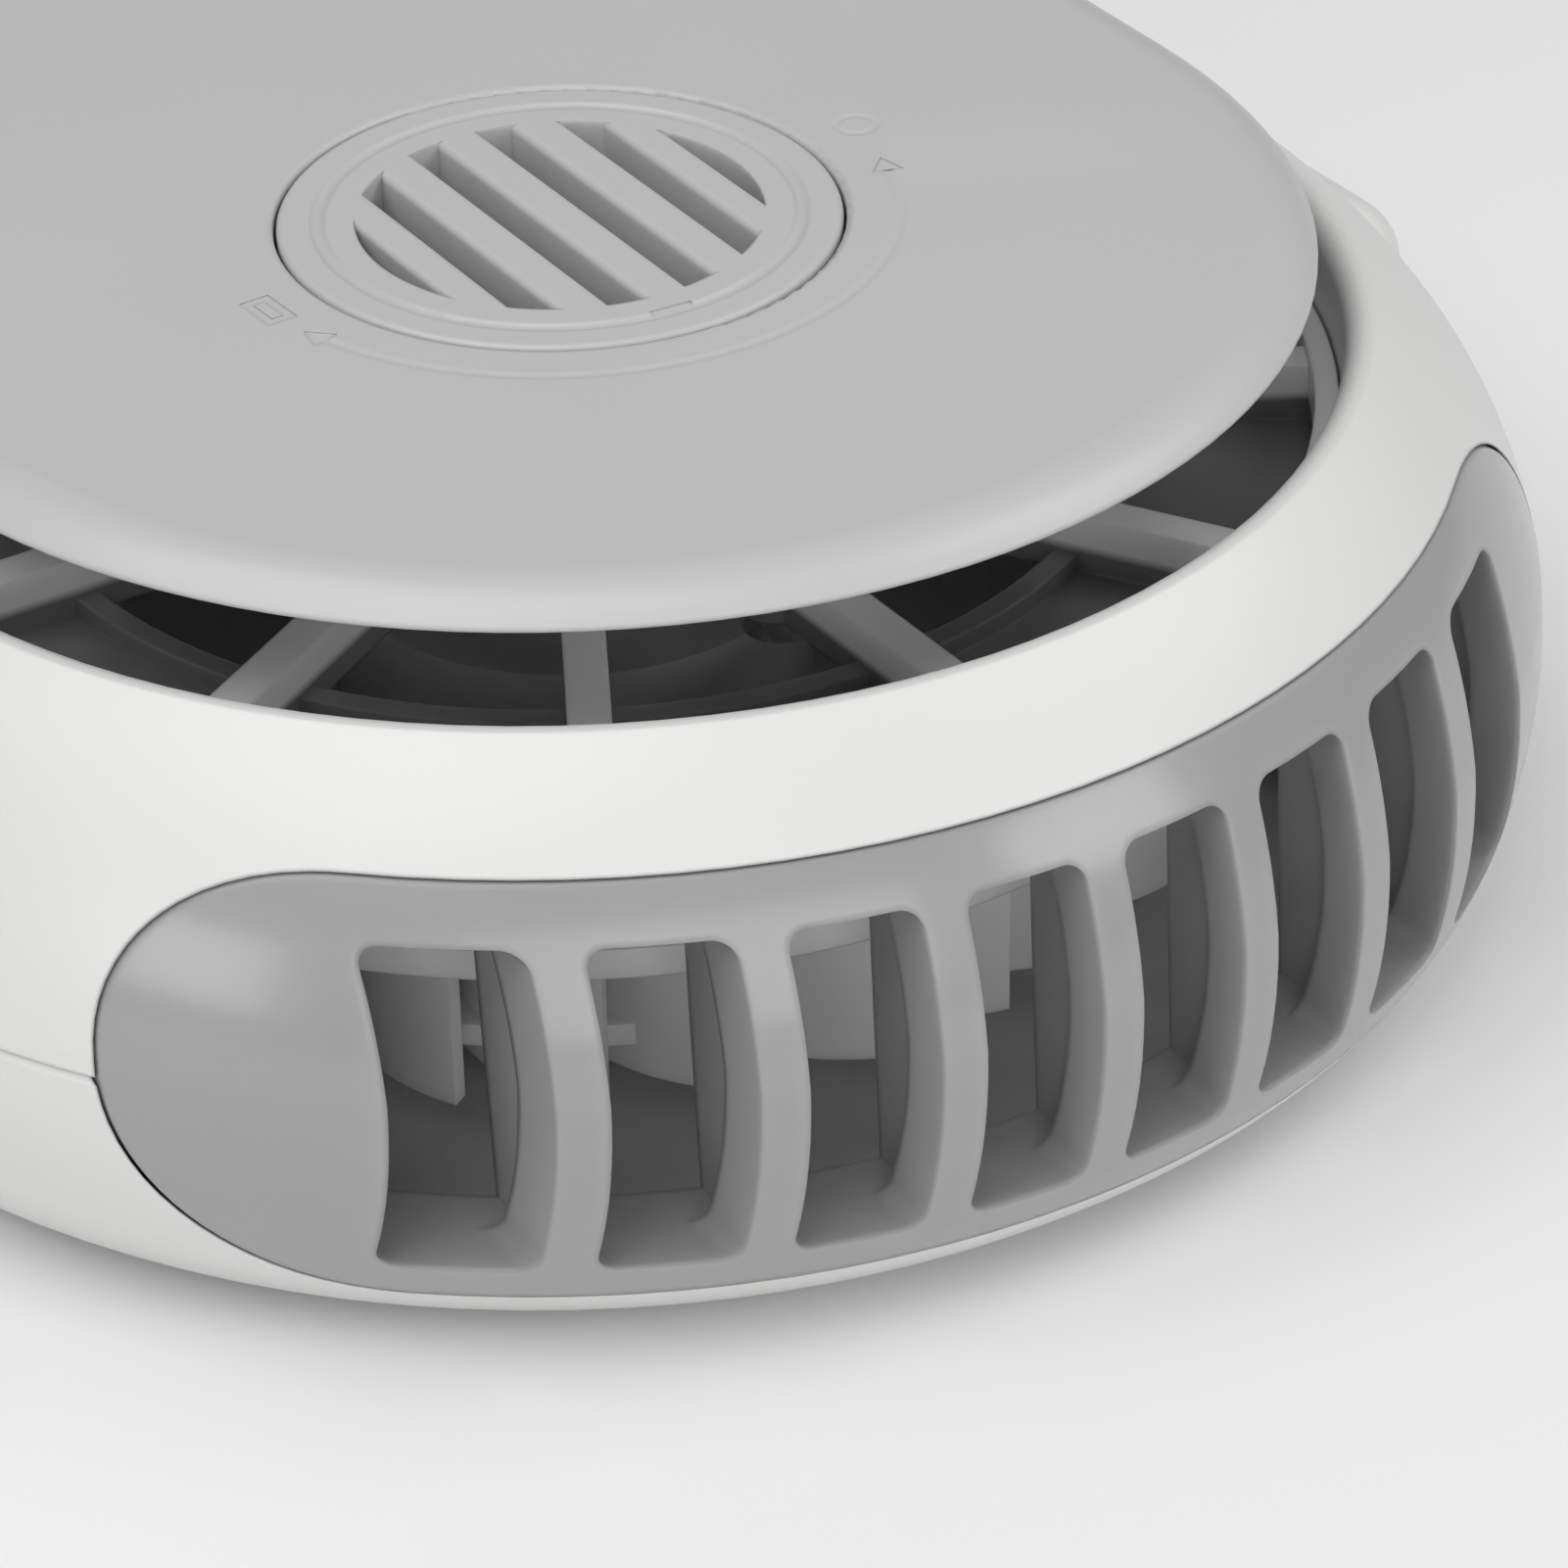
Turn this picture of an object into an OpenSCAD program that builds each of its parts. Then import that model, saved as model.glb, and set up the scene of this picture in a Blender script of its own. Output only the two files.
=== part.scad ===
// Pendant neck fan: round-ended body, ring intake under a flat cover, vaned outlet at the front end.
// Millimetres, +Z up, the fan lies on its flat back, the outlet faces -Y.

/* [Body] */
// Radius of the two round ends of the body
body_r = 49.4; // [48:0.2:54]
// Length of the straight sides between the round ends
straight_run = 36; // [34:1:44]
// Height of the body's rim above the flat back
rim_z = 29.7; // [29.2:0.1:31]
// Wall thickness of the two shells
wall = 1.8; // [1.5:0.1:2.1]
// Height of the seam between the shells
seam_z = 14.67; // [13.5:0.1:16]
// Visible gap between outer pieces
panel_gap = 0.15; // [0.1:0.05:0.3]
// Depth of the V groove along the seam
seam_groove = 0.25; // [0.15:0.05:0.4]

/* [Cover] */
// Distance from the body's side in to the cover's edge
shoulder_w = 12.1; // [11.4:0.1:12.8]
// Ring gap between the cover and the rim
intake_gap = 1.5; // [1.2:0.1:1.8]
// Height of the cover's top above the rim
cover_rise = 4.95; // [4.5:0.05:5.6]
// Thickness of the cover plate
cover_t = 1.6; // [1.4:0.1:2]
// Radius of the rounding along the cover's edge
cover_round = 3.7; // [3.2:0.1:4.4]
// Width of the rounded band along the cover's edge
cover_band = 2.9; // [2.2:0.1:3.1]

/* [Outlet grille] */
// Width of the grille panel
panel_w = 81.8; // [78:0.2:84]
// Height of the grille panel
panel_h = 20.5; // [19:0.1:21.4]
// Number of outlet openings
slot_count = 8; // [6:1:8]
// Width of one opening
slot_w = 6.05; // [5:0.05:6.4]
// Distance from one opening to the next
slot_pitch = 8.1; // [7.6:0.05:8.4]
// Height of the openings
slot_h = 16.1; // [14:0.1:16.6]
// Corner radius of the openings
slot_round = 1; // [0.6:0.1:1.6]
// Lean of the openings' sides, in degrees
slot_lean = 3.4; // [0:0.1:4]
// Depth of the vanes at the body's widest line
vane_depth = 7; // [6.2:0.1:7.2]

/* [Vent cap] */
// Radius of the twist cap
cap_r = 14; // [13.6:0.1:14.6]
// Thickness of the cap's top plate
cap_t = 2.4; // [2:0.1:2.6]
// Width of the cap's slots
cap_slot_w = 1.75; // [1.4:0.05:2.1]
// Distance from one cap slot to the next
cap_pitch = 4.08; // [3.8:0.02:4.3]
// How far the cap turns to either side
cap_turn = 75; // [60:1:75]

/* [Blower] */
// Distance from the throat in to the impeller's rim
impeller_inset = 2.4; // [2.2:0.1:3.4]
// Number of blades
blade_count = 30; // [20:1:34]
// Radial length of the blades
blade_run = 8.4; // [7:0.1:8.8]
// Thickness of a blade
blade_t = 0.9; // [0.7:0.05:1.1]
// Number of spokes under the cover
spoke_count = 12; // [6:3:15]
// Width of a spoke
spoke_w = 2.05; // [1.6:0.05:2.6]
// Height of a spoke
spoke_h = 3.05; // [2.6:0.05:3.3]
// Step from the blades in to the air inlet's edge
eye_step = 0.7; // [0.5:0.1:2]

/* [Motor] */
// Radius of the motor shaft
shaft_r = 1; // [0.8:0.05:1.1]
// Outer radius of the rotor can
can_r = 10.9; // [10.6:0.1:11.3]
// Height of the rotor can
can_h = 8; // [7.6:0.1:8.4]

/* [Battery and board] */
// Distance from the far end of the body in to the cell's axis
cell_inset = 29.4; // [28.6:0.1:30]
// Clearance between the cell and the board above it
cell_clear = 0.7; // [0.6:0.1:1.4]
// Half width of the circuit board
board_half_w = 15.6; // [14.6:0.1:15.8]
// Thickness of the circuit board
board_t = 1.2; // [1:0.1:1.4]

/* [Controls] */
// Radius of the power button
button_r = 4.5; // [4:0.1:5]
// Travel of the power button
button_travel = 0.35; // [0.25:0.05:0.45]
// Length of the lanyard lug along the body's side
lug_len = 10.3; // [8.5:0.1:11]
// Radius of the cord hole in the lug
lug_eye_r = 0.8; // [0.7:0.05:0.85]

/* [Hidden] */
$fn = 96;
over = 1;
fit = 0.05;
press = 0.015;
seat = 0.1;
quarter_turn = 90;
half_turn = 180;
full_turn = 360;

// Heights and centres that the whole part shares
cap_y = -straight_run / 2;
far_y = straight_run / 2;
top_z = rim_z + cover_rise;
cover_z = top_z - cover_t;
cover_r = body_r - shoulder_w;
throat_r = cover_r + intake_gap;
impeller_r = throat_r - impeller_inset;
blade_in_r = impeller_r - blade_run;
eye_r = blade_in_r - eye_step;
floor_z = wall;

// Body outline in section, as shares of the rim height
low_round_share = 0.2896;
mid_round_share = 0.7407;
mid_z_share = 0.4242;
top_round_share = 0.8131;
top_inset_share = 0.8013;
top_z_share = 0.3535;
low_round = rim_z * low_round_share;
mid_round = rim_z * mid_round_share;
mid_z = rim_z * mid_z_share;
top_round = rim_z * top_round_share;
mid_x = body_r - mid_round;
arc_step = mid_round - low_round;
low_x = mid_x + sqrt(arc_step * arc_step - (mid_z - low_round) * (mid_z - low_round));
top_x = body_r - rim_z * top_inset_share;
top_arc_z = rim_z * top_z_share;
function low_join(d) = mid_z - (mid_round - d) * (mid_z - low_round) / arc_step;
function flank_r(z, d) = top_x + sqrt((top_round - d) * (top_round - d) - (z - top_arc_z) * (z - top_arc_z));

// Right half of the body's section, shrunk by d
module body_half(d) {
  translate([0, d]) square([low_x, rim_z - d]);
  intersection() {
    translate([mid_x, mid_z]) circle(r = mid_round - d);
    translate([top_x, top_arc_z]) circle(r = top_round - d);
    translate([low_x - over, 0]) square([body_r, rim_z]);
    union() {
      translate([low_x, low_round]) circle(r = low_round - d);
      translate([low_x - over, low_join(d)]) square([body_r, rim_z - low_join(d)]);
    }
  }
}

// Sweeps a half section round the body's outline
module race() {
  translate([0, cap_y, 0]) rotate([0, 0, half_turn]) rotate_extrude(angle = half_turn) children();
  translate([0, far_y, 0]) rotate_extrude(angle = half_turn) children();
  for (side = [0, 1]) mirror([side, 0, 0])
    translate([0, far_y, 0]) rotate([quarter_turn, 0, 0])
      linear_extrude(height = straight_run) children();
}
module ring2(r_out, r_in, z0, h) { translate([r_in, z0]) square([r_out - r_in, h]); }
module tube(r_out, r_in, z0, h) {
  translate([0, 0, z0]) difference() {
    cylinder(r = r_out, h = h);
    translate([0, 0, -over]) cylinder(r = r_in, h = h + 2 * over);
  }
}
module at_cap() { translate([0, cap_y, 0]) children(); }
module both() { for (side = [0, 1]) mirror([side, 0, 0]) children(); }

// Obround seen from the front, pushed through along Y
panel_drop = 0.2;
panel_z = rim_z / 2 - panel_drop;
panel_back_share = 0.4;
module panel_prism(grow) {
  half = panel_h / 2 + grow;
  run = panel_w / 2 - panel_h / 2;
  translate([0, cap_y - body_r * panel_back_share, panel_z]) rotate([quarter_turn, 0, 0])
    linear_extrude(height = body_r) {
      translate([-run, -half]) square([2 * run, 2 * half]);
      for (s = [-1, 1]) translate([s * run, 0]) circle(r = half);
    }
}

// Screws: pan head and shank
screw_shank_r = 1;
screw_bite_r = 0.98;
screw_free_r = 1.1;
screw_head_r = 1.9;
screw_head_h = 1.2;
drive_r = 0.5;
drive_share = 0.6;
module screw(len, head_h) {
  difference() {
    union() {
      translate([0, 0, -head_h]) cylinder(r = screw_head_r, h = head_h);
      cylinder(r = screw_shank_r - 2 * fit + press, h = len);
    }
    translate([0, 0, -head_h - over]) cylinder(r = drive_r, h = over + head_h * drive_share, $fn = 6);
  }
}

// Shell screws
shell_head_z = 6;
shell_screw_len = 14;
head_well_r = screw_head_r + 3 * fit;

// Rim, throat and deck of the front shell
throat_wall = 1.8;
ledge_t = 1.2;
ledge_w = 1.8;
plate_t = 1.2;
spoke_drop = 4.85;
spoke_top = rim_z - spoke_drop;
spoke_bottom = spoke_top - spoke_h;
plate_z = spoke_bottom - plate_t;
deck_t = 1.4;
deck_drop = 3.1;
deck_top = rim_z - deck_drop;
deck_z = deck_top - deck_t;
rim_round = 1.2;

// Board, switch and lights
board_drop = 2.8;
board_top = deck_z - board_drop;
board_z = board_top - board_t;
board_near = 8;
board_edge_gap = 0.5;
board_end_r = flank_r(board_top, wall) - board_edge_gap;
button_back = 11;
button_y = far_y + button_back;
leds_back = 21;
leds_y = far_y + leds_back;
led_pitch = 3.2;
led_spots = [for (k = [-1.5, -0.5, 0.5, 1.5]) k * led_pitch];
post_r = 2;
post_edge = 3;
post_near_inset = 2.4;
post_far_inset = 7.4;
post_spots = [[board_half_w - post_edge, far_y + board_near + post_near_inset],
  [board_half_w - post_edge, far_y + board_end_r - post_far_inset]];
usb_w = 9;
usb_h = 3.2;
usb_len = 7.3;
usb_round = 1.2;
usb_wall = 0.3;
usb_clear = 0.3;
usb_mouth_inset = 0.7;
usb_mid_z = board_z - usb_h / 2;
usb_mouth_y = far_y + flank_r(usb_mid_z, 0) - usb_mouth_inset;
module usb_outline(grow) {
  run = usb_w / 2 - usb_h / 2;
  translate([-run, -usb_h / 2 - grow]) square([2 * run, usb_h + 2 * grow]);
  for (s = [-1, 1]) translate([s * run, 0]) circle(r = usb_h / 2 + grow);
}

// Button
button_proud = 0.35;
button_flange = 1.1;
button_flange_t = 1.3;
stem_r = 2.05;
plunger_r = 1;
plunger_h = 0.6;
switch_w = 4.5;
switch_h = 1.6;
plunger_top = board_top + switch_h + plunger_h;
guide_r = 0.8;

// Cover fixing: bosses under the cover, ears on the intake hub
cover_boss_r = 2.1;
ear_out = 5.2;
hub_ear_r = cap_r + ear_out;
ear_r = 2.3;
ear_step = full_turn / 3;
spoke_turn = 1.1;
ear_turn = spoke_turn - quarter_turn;
cover_spot_shares = [[0.697, 0.3217], [0.3753, 0.7373]];
cover_spots = [for (k = cover_spot_shares) cover_r * k];
cover_screw_len = 6;

// Lanyard lug, a capsule sunk in the shoulder of the front shell
lug_r = 3.6;
lug_sink = 2.4;
lug_drop = 7.3;
lug_z = rim_z - lug_drop;
lug_forward = 2.6;
lug_y = cap_y - lug_forward;
lug_tilt = asin((lug_z - top_arc_z) / top_round);
lug_x = flank_r(lug_z, 0);
lug_gap = 0.1;
lug_eye_depth = 0.5;
lug_scoop_clear = 0.15;
lug_scoop_flare = 0.45;
lug_scoop_len = 6.6;
lug_back = 1;
module lug_frame() { translate([lug_x, lug_y, lug_z]) rotate([0, -lug_tilt, 0]) children(); }
lug_half_chord = sqrt(lug_r * lug_r - lug_sink * lug_sink);
lug_run = lug_len - 2 * lug_half_chord;
module lug_capsule(grow) {
  translate([-lug_sink, 0, 0]) rotate([quarter_turn, 0, 0]) rotate_extrude() intersection() {
    translate([0, -lug_len]) square([lug_len, 2 * lug_len]);
    union() {
      translate([0, -lug_run / 2]) square([lug_r + grow, lug_run]);
      for (s = [-1, 1]) translate([0, s * lug_run / 2]) circle(r = lug_r + grow);
    }
  }
}
module lug_scoops() {
  for (k = [0, 1]) rotate([k * half_turn, 0, 0]) translate([-lug_eye_depth, 0, lug_half_chord - lug_gap])
    cylinder(r1 = lug_eye_r + lug_scoop_clear, r2 = lug_eye_r + lug_scoop_clear + lug_scoop_flare,
      h = lug_scoop_len);
}

// Battery, and the shell screws round it, as x and y
cell_lift = 0.3;
cell_r = (board_z - floor_z - cell_lift - cell_clear) / 2;
cell_y = far_y + body_r - cell_inset;
cell_z = floor_z + cell_lift + cell_r;
boss_r = 3.1;
boss_edge = 2.3;
boss_gap = 0.3;
side_screw_back = 10;
screw_ring = low_x - boss_edge;
corner_turn = 18.5;
corner_x = screw_ring * cos(corner_turn);
end_y = cell_y - far_y + cell_r + boss_gap + boss_r;
cell_len = 2 * (corner_x - boss_r - boss_gap);
shell_spots = [[corner_x, far_y + screw_ring * sin(corner_turn)],
  [sqrt(screw_ring * screw_ring - end_y * end_y), far_y + end_y],
  [screw_ring + press, far_y - side_screw_back]];
cradle_x = 20;
cradle_t = 1.5;
cradle_side = 0.9;

// Motor stack
base_lift = 1.6;
base_z = floor_z + base_lift;
base_t = 1.2;
base_r = 15;
base_screw_r = 12.6;
base_pad_r = 2.2;
base_screw_len = 2.3;
base_ear_step = full_turn / 3;
base_ear_turn = 30;

module rear_shell() color([0.93, 0.93, 0.92]) {
  difference() {
    union() {
      difference() {
        race() difference() {
          intersection() { body_half(0); square([2 * body_r, seam_z]); }
          translate([0, floor_z]) square([low_x, rim_z]);
          body_half(wall);
        }
        panel_prism(panel_gap);
      }
      both() for (p = shell_spots) translate([p[0], p[1], 0]) cylinder(r = boss_r, h = seam_z - fit);
      both() difference() {
        translate([cradle_x, cell_y - cell_r - cradle_side, floor_z - fit])
          cube([cradle_t, 2 * (cell_r + cradle_side), cell_z - floor_z]);
        translate([cradle_x - over, cell_y, cell_z]) rotate([0, quarter_turn, 0])
          cylinder(r = cell_r + seat, h = cradle_t + 2 * over);
      }
      at_cap() for (k = [0 : 2]) rotate([0, 0, base_ear_turn + k * base_ear_step])
        translate([base_screw_r, 0, 0]) cylinder(r = base_pad_r, h = base_z);
      lip_ring();
    }
    both() for (p = shell_spots) translate([p[0], p[1], -over]) {
      cylinder(r = head_well_r, h = over + shell_head_z);
      cylinder(r = screw_free_r, h = seam_z + 2 * over);
    }
    at_cap() for (k = [0 : 2]) rotate([0, 0, base_ear_turn + k * base_ear_step])
      translate([base_screw_r, 0, base_z - base_screw_len])
        cylinder(r = screw_bite_r, h = base_screw_len + over);
    race() translate([flank_r(seam_z, 0), seam_z]) rotate([0, 0, quarter_turn / 2])
      square([2 * seam_groove, 2 * seam_groove], center = true);
  }
}

// Locating lip that stands up from the rear shell inside the front shell
lip_t = 0.9;
lip_h = 1.6;
lip_end_gap = 0.4;
module lip_ring() {
  difference() {
    race() difference() {
      union() {
        intersection() { body_half(wall - seat); translate([low_x, seam_z - 2 * lip_h])
          square([body_r, 2 * lip_h - fit]); }
        intersection() { body_half(wall + fit); translate([low_x, seam_z - lip_h])
          square([body_r, 2 * lip_h]); }
      }
      body_half(wall + fit + lip_t);
    }
    at_cap() translate([-body_r, -body_r - over, 0])
      cube([2 * body_r, body_r * (1 - panel_back_share) + over + lip_end_gap, rim_z]);
  }
}

module front_shell() color([0.95, 0.95, 0.94]) {
  difference() {
    union() {
      difference() {
        race() difference() {
          intersection() {
            body_half(0);
            translate([throat_r, seam_z]) square([body_r, rim_z]);
          }
          difference() { body_half(wall); translate([0, deck_top])
            square([throat_r + throat_wall, rim_z]); }
        }
        panel_prism(panel_gap);
      }
      race() ring2(throat_r + throat_wall, throat_r, deck_z, rim_z - deck_z - wall);
      at_cap() tube(throat_r + throat_wall, throat_r, plate_z, deck_top - plate_z);
      at_cap() tube(throat_r + throat_wall, throat_r - ledge_w, plate_z - ledge_t, ledge_t);
      difference() {
        race() ring2(throat_r + throat_wall, 0, deck_z, deck_t);
        at_cap() translate([0, 0, deck_z - over]) cylinder(r = throat_r, h = deck_t + 2 * over);
      }
      both() for (p = shell_spots) translate([p[0], p[1], seam_z])
        cylinder(r = boss_r, h = deck_z - seam_z + fit);
      both() for (p = post_spots) translate([p[0], p[1], board_top])
        cylinder(r = post_r, h = deck_z - board_top + fit);
    }
    both() for (p = shell_spots) translate([p[0], p[1], seam_z - over])
      cylinder(r = screw_bite_r, h = over + shell_head_z + shell_screw_len - seam_z + fit);
    both() for (p = post_spots) translate([p[0], p[1], board_top - over])
      cylinder(r = screw_bite_r, h = over + board_drop + fit);
    both() for (p = cover_spots) translate([p[0], far_y + p[1], deck_z - over])
      cylinder(r = screw_free_r, h = deck_t + 2 * over);
    translate([0, button_y, deck_z - over]) cylinder(r = stem_r + fit, h = deck_t + 2 * over);
    for (x = led_spots) translate([x, leds_y, deck_z - over])
      cylinder(r = guide_r + 2 * fit, h = deck_t + 2 * over);
    race() difference() {
      translate([throat_r - over, rim_z - rim_round]) square([over + rim_round, rim_round + over]);
      translate([throat_r + rim_round, rim_z - rim_round]) circle(r = rim_round);
    }
    race() translate([flank_r(seam_z, 0), seam_z]) rotate([0, 0, quarter_turn / 2])
      square([2 * seam_groove, 2 * seam_groove], center = true);
    translate([0, usb_mouth_y + usb_len, usb_mid_z]) rotate([quarter_turn, 0, 0])
      linear_extrude(height = 2 * usb_len) usb_outline(usb_clear);
    both() lug_frame() {
      lug_capsule(lug_gap);
      lug_scoops();
    }
  }
}

// Openings: leaning sides through the front bars, upright and wider behind them
slot_drop = 0.2;
slot_z = panel_z - slot_drop;
slot_shift = -0.55;
bar_t = 2.4;
vane_share = 0.585;
vane_shift = 0.3;
vane_flare_share = 0.06;
vane_r = body_r - vane_depth;
vane_top_r = vane_r - vane_flare_share * slot_h / 2;
module slot_outline() {
  in_w = slot_w / 2 - slot_round;
  in_h = slot_h / 2 - slot_round;
  skew = in_h * tan(slot_lean);
  side_x = slot_round * cos(slot_lean);
  side_y = slot_round * sin(slot_lean);
  polygon([[-in_w - skew - side_x, side_y - in_h], [in_w - skew + side_x, -side_y - in_h],
    [in_w + skew + side_x, in_h - side_y], [-in_w + skew - side_x, in_h + side_y]]);
  polygon([[-in_w - skew, -slot_h / 2], [in_w - skew, -slot_h / 2], [in_w + skew, slot_h / 2],
    [-in_w + skew, slot_h / 2]]);
  for (s = [-1, 1], t = [-1, 1]) translate([s * in_w + t * skew, t * in_h]) circle(r = slot_round);
}
module slot_row() {
  for (k = [0 : slot_count - 1])
    translate([slot_shift + (k - (slot_count - 1) / 2) * slot_pitch, cap_y - body_r * panel_back_share,
      slot_z])
      rotate([quarter_turn, 0, 0]) linear_extrude(height = body_r) children();
}
frame_rim = 1.8;
flange_t = 1.1;
flange_w = 1.3;
open_half = (slot_count - 1) * slot_pitch / 2 + slot_w / 2 + frame_rim;
vane_open_w = slot_pitch - (slot_pitch - slot_w) * vane_share;
module front_turn() {
  at_cap() rotate([0, 0, half_turn]) rotate_extrude(angle = half_turn) children();
}
module outlet_grille() color([0.72, 0.72, 0.73]) {
  difference() {
    union() {
      intersection() {
        front_turn() difference() {
          body_half(0);
          body_half(bar_t);
          square([low_x - over, rim_z]);
        }
        panel_prism(0);
      }
      intersection() {
        front_turn() difference() {
          body_half(wall + fit);
          body_half(wall + fit + flange_t);
          square([vane_r, rim_z]);
        }
        panel_prism(flange_w);
      }
    }
    slot_row() slot_outline();
  }
  difference() {
    intersection() {
      front_turn() difference() {
        body_half(bar_t - fit);
        polygon([[0, 0], [vane_r + vane_flare_share * slot_z, 0],
          [vane_r - vane_flare_share * (rim_z - slot_z), rim_z], [0, rim_z]]);
      }
      panel_prism(-fit);
      translate([-open_half, cap_y - 2 * body_r, 0]) cube([2 * open_half, 2 * body_r, rim_z]);
    }
    slot_row() translate([vane_shift - vane_open_w / 2, -slot_h / 2]) square([vane_open_w, slot_h]);
  }
}

// Engraved marks on the cover: a square, a ring and an arc with two arrow heads
mark_depth = 0.07;
mark_line = 0.5;
mark_turn = 3.3;
mark_square_out = 2.85;
mark_square_r = cap_r + mark_square_out;
mark_w = 1.6;
mark_h = 2.7;
mark_ring_out = 1.25;
mark_ring_shift = 0.6;
mark_ring_r = mark_square_r + mark_ring_shift;
arc_mark_out = 2.8;
arc_mark_w = 0.65;
arc_mark_r = cap_r + arc_mark_out;
arc_mark_half = 72;
arrow_len = 1.45;
arrow_w = 1.6;
cap_gap = panel_gap;
cap_edge = 0.35;
// Outline of a shallow round-bottomed groove that is w wide and d deep in the top face
module dish(w, d) {
  dish_r = (w * w / 4 + d * d) / (2 * d);
  translate([0, top_z + dish_r - d]) circle(r = dish_r);
}
module cover_marks() {
  at_cap() translate([0, 0, top_z - mark_depth]) linear_extrude(height = mark_depth + over) {
    rotate([0, 0, mark_turn]) translate([-mark_square_r, 0]) difference() {
      square([mark_w, mark_h], center = true);
      square([mark_w - 2 * mark_line, mark_h - 2 * mark_line], center = true);
    }
    for (s = [-1, 1]) rotate([0, 0, -quarter_turn + s * arc_mark_half]) translate([arc_mark_r, 0])
      polygon([[-arrow_w / 2, 0], [arrow_w / 2, 0], [0, s * arrow_len]]);
  }
  at_cap() translate([mark_ring_r, 0, 0]) rotate_extrude()
    translate([mark_ring_out - mark_line / 2, 0]) dish(mark_line, mark_depth);
  at_cap() rotate([0, 0, -quarter_turn - arc_mark_half]) rotate_extrude(angle = 2 * arc_mark_half)
    translate([arc_mark_r, 0]) dish(arc_mark_w, mark_depth);
}
module front_cover() color([0.74, 0.74, 0.75]) {
  difference() {
    union() {
      race() intersection() {
        translate([0, cover_z]) square([cover_r, cover_t]);
        union() {
          translate([0, cover_z]) square([cover_r - cover_band, cover_t]);
          translate([cover_r - cover_band, top_z - cover_round]) circle(r = cover_round);
        }
      }
      at_cap() for (k = [0 : 2]) rotate([0, 0, k * ear_step + ear_turn])
        translate([hub_ear_r, 0, spoke_top + fit])
        cylinder(r = cover_boss_r, h = cover_z - spoke_top);
      both() for (p = cover_spots) translate([p[0], far_y + p[1], deck_top + fit])
        cylinder(r = cover_boss_r, h = cover_z - deck_top);
    }
    at_cap() translate([0, 0, cover_z - over]) cylinder(r = cap_r + cap_gap, h = cover_t + 2 * over);
    at_cap() rotate_extrude() translate([cap_r + cap_gap, top_z - cap_edge]) difference() {
      translate([-over, 0]) square([cap_edge + over, cap_edge + over]);
      translate([cap_edge, 0]) circle(r = cap_edge);
    }
    at_cap() for (k = [0 : 2]) rotate([0, 0, k * ear_step + ear_turn])
      translate([hub_ear_r, 0, spoke_top - over])
      cylinder(r = screw_bite_r, h = over + cover_screw_len);
    both() for (p = cover_spots) translate([p[0], far_y + p[1], deck_top - over])
      cylinder(r = screw_bite_r, h = over + cover_z - deck_top);
    translate([0, button_y, cover_z - over]) cylinder(r = button_r + 3 * fit, h = cover_t + 2 * over);
    for (x = led_spots) translate([x, leds_y, cover_z - over])
      cylinder(r = guide_r + 2 * fit, h = cover_t + 2 * over);
    cover_marks();
  }
}

// Intake frame: outer ring, plate with the air inlet, spokes, hub cup with the cap's bayonet track
ring_t = 1.2;
ring_rise = 0.45;
hub_step = 1;
hub_wall_t = 1.5;
hub_in_r = cap_r + hub_step;
hub_r = hub_in_r + hub_wall_t;
hub_floor_t = 1.2;
hub_gap = 0.1;
sleeve_inset = 0.8;
sleeve_r = cap_r - sleeve_inset;
sleeve_t = 1.5;
sleeve_h = 4.6;
ledge_gap = 0.1;
track_ledge_t = 1.5;
track_ledge_drop = 1.7;
cap_z = top_z - cap_t;
track_z = cap_z - track_ledge_drop - track_ledge_t + over;
lug_part_h = 1.5;
bayonet_gap = 0.3;
lug_out_r = hub_in_r - bayonet_gap;
lug_half_angle = 10;
entry_half_angle = 12;
stop_w = 1.9;
hub_hole_ring = 8;
hub_hole_r = 2.2;
hub_hole_count = 6;
eye_lip_h = 1;
eye_lip_t = 1.2;
ring_r = throat_r - panel_gap;
module sector(r_in, r_out, z0, h, a0, a1) {
  rotate([0, 0, a0]) rotate_extrude(angle = a1 - a0) ring2(r_out, r_in, z0, h);
}
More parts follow.
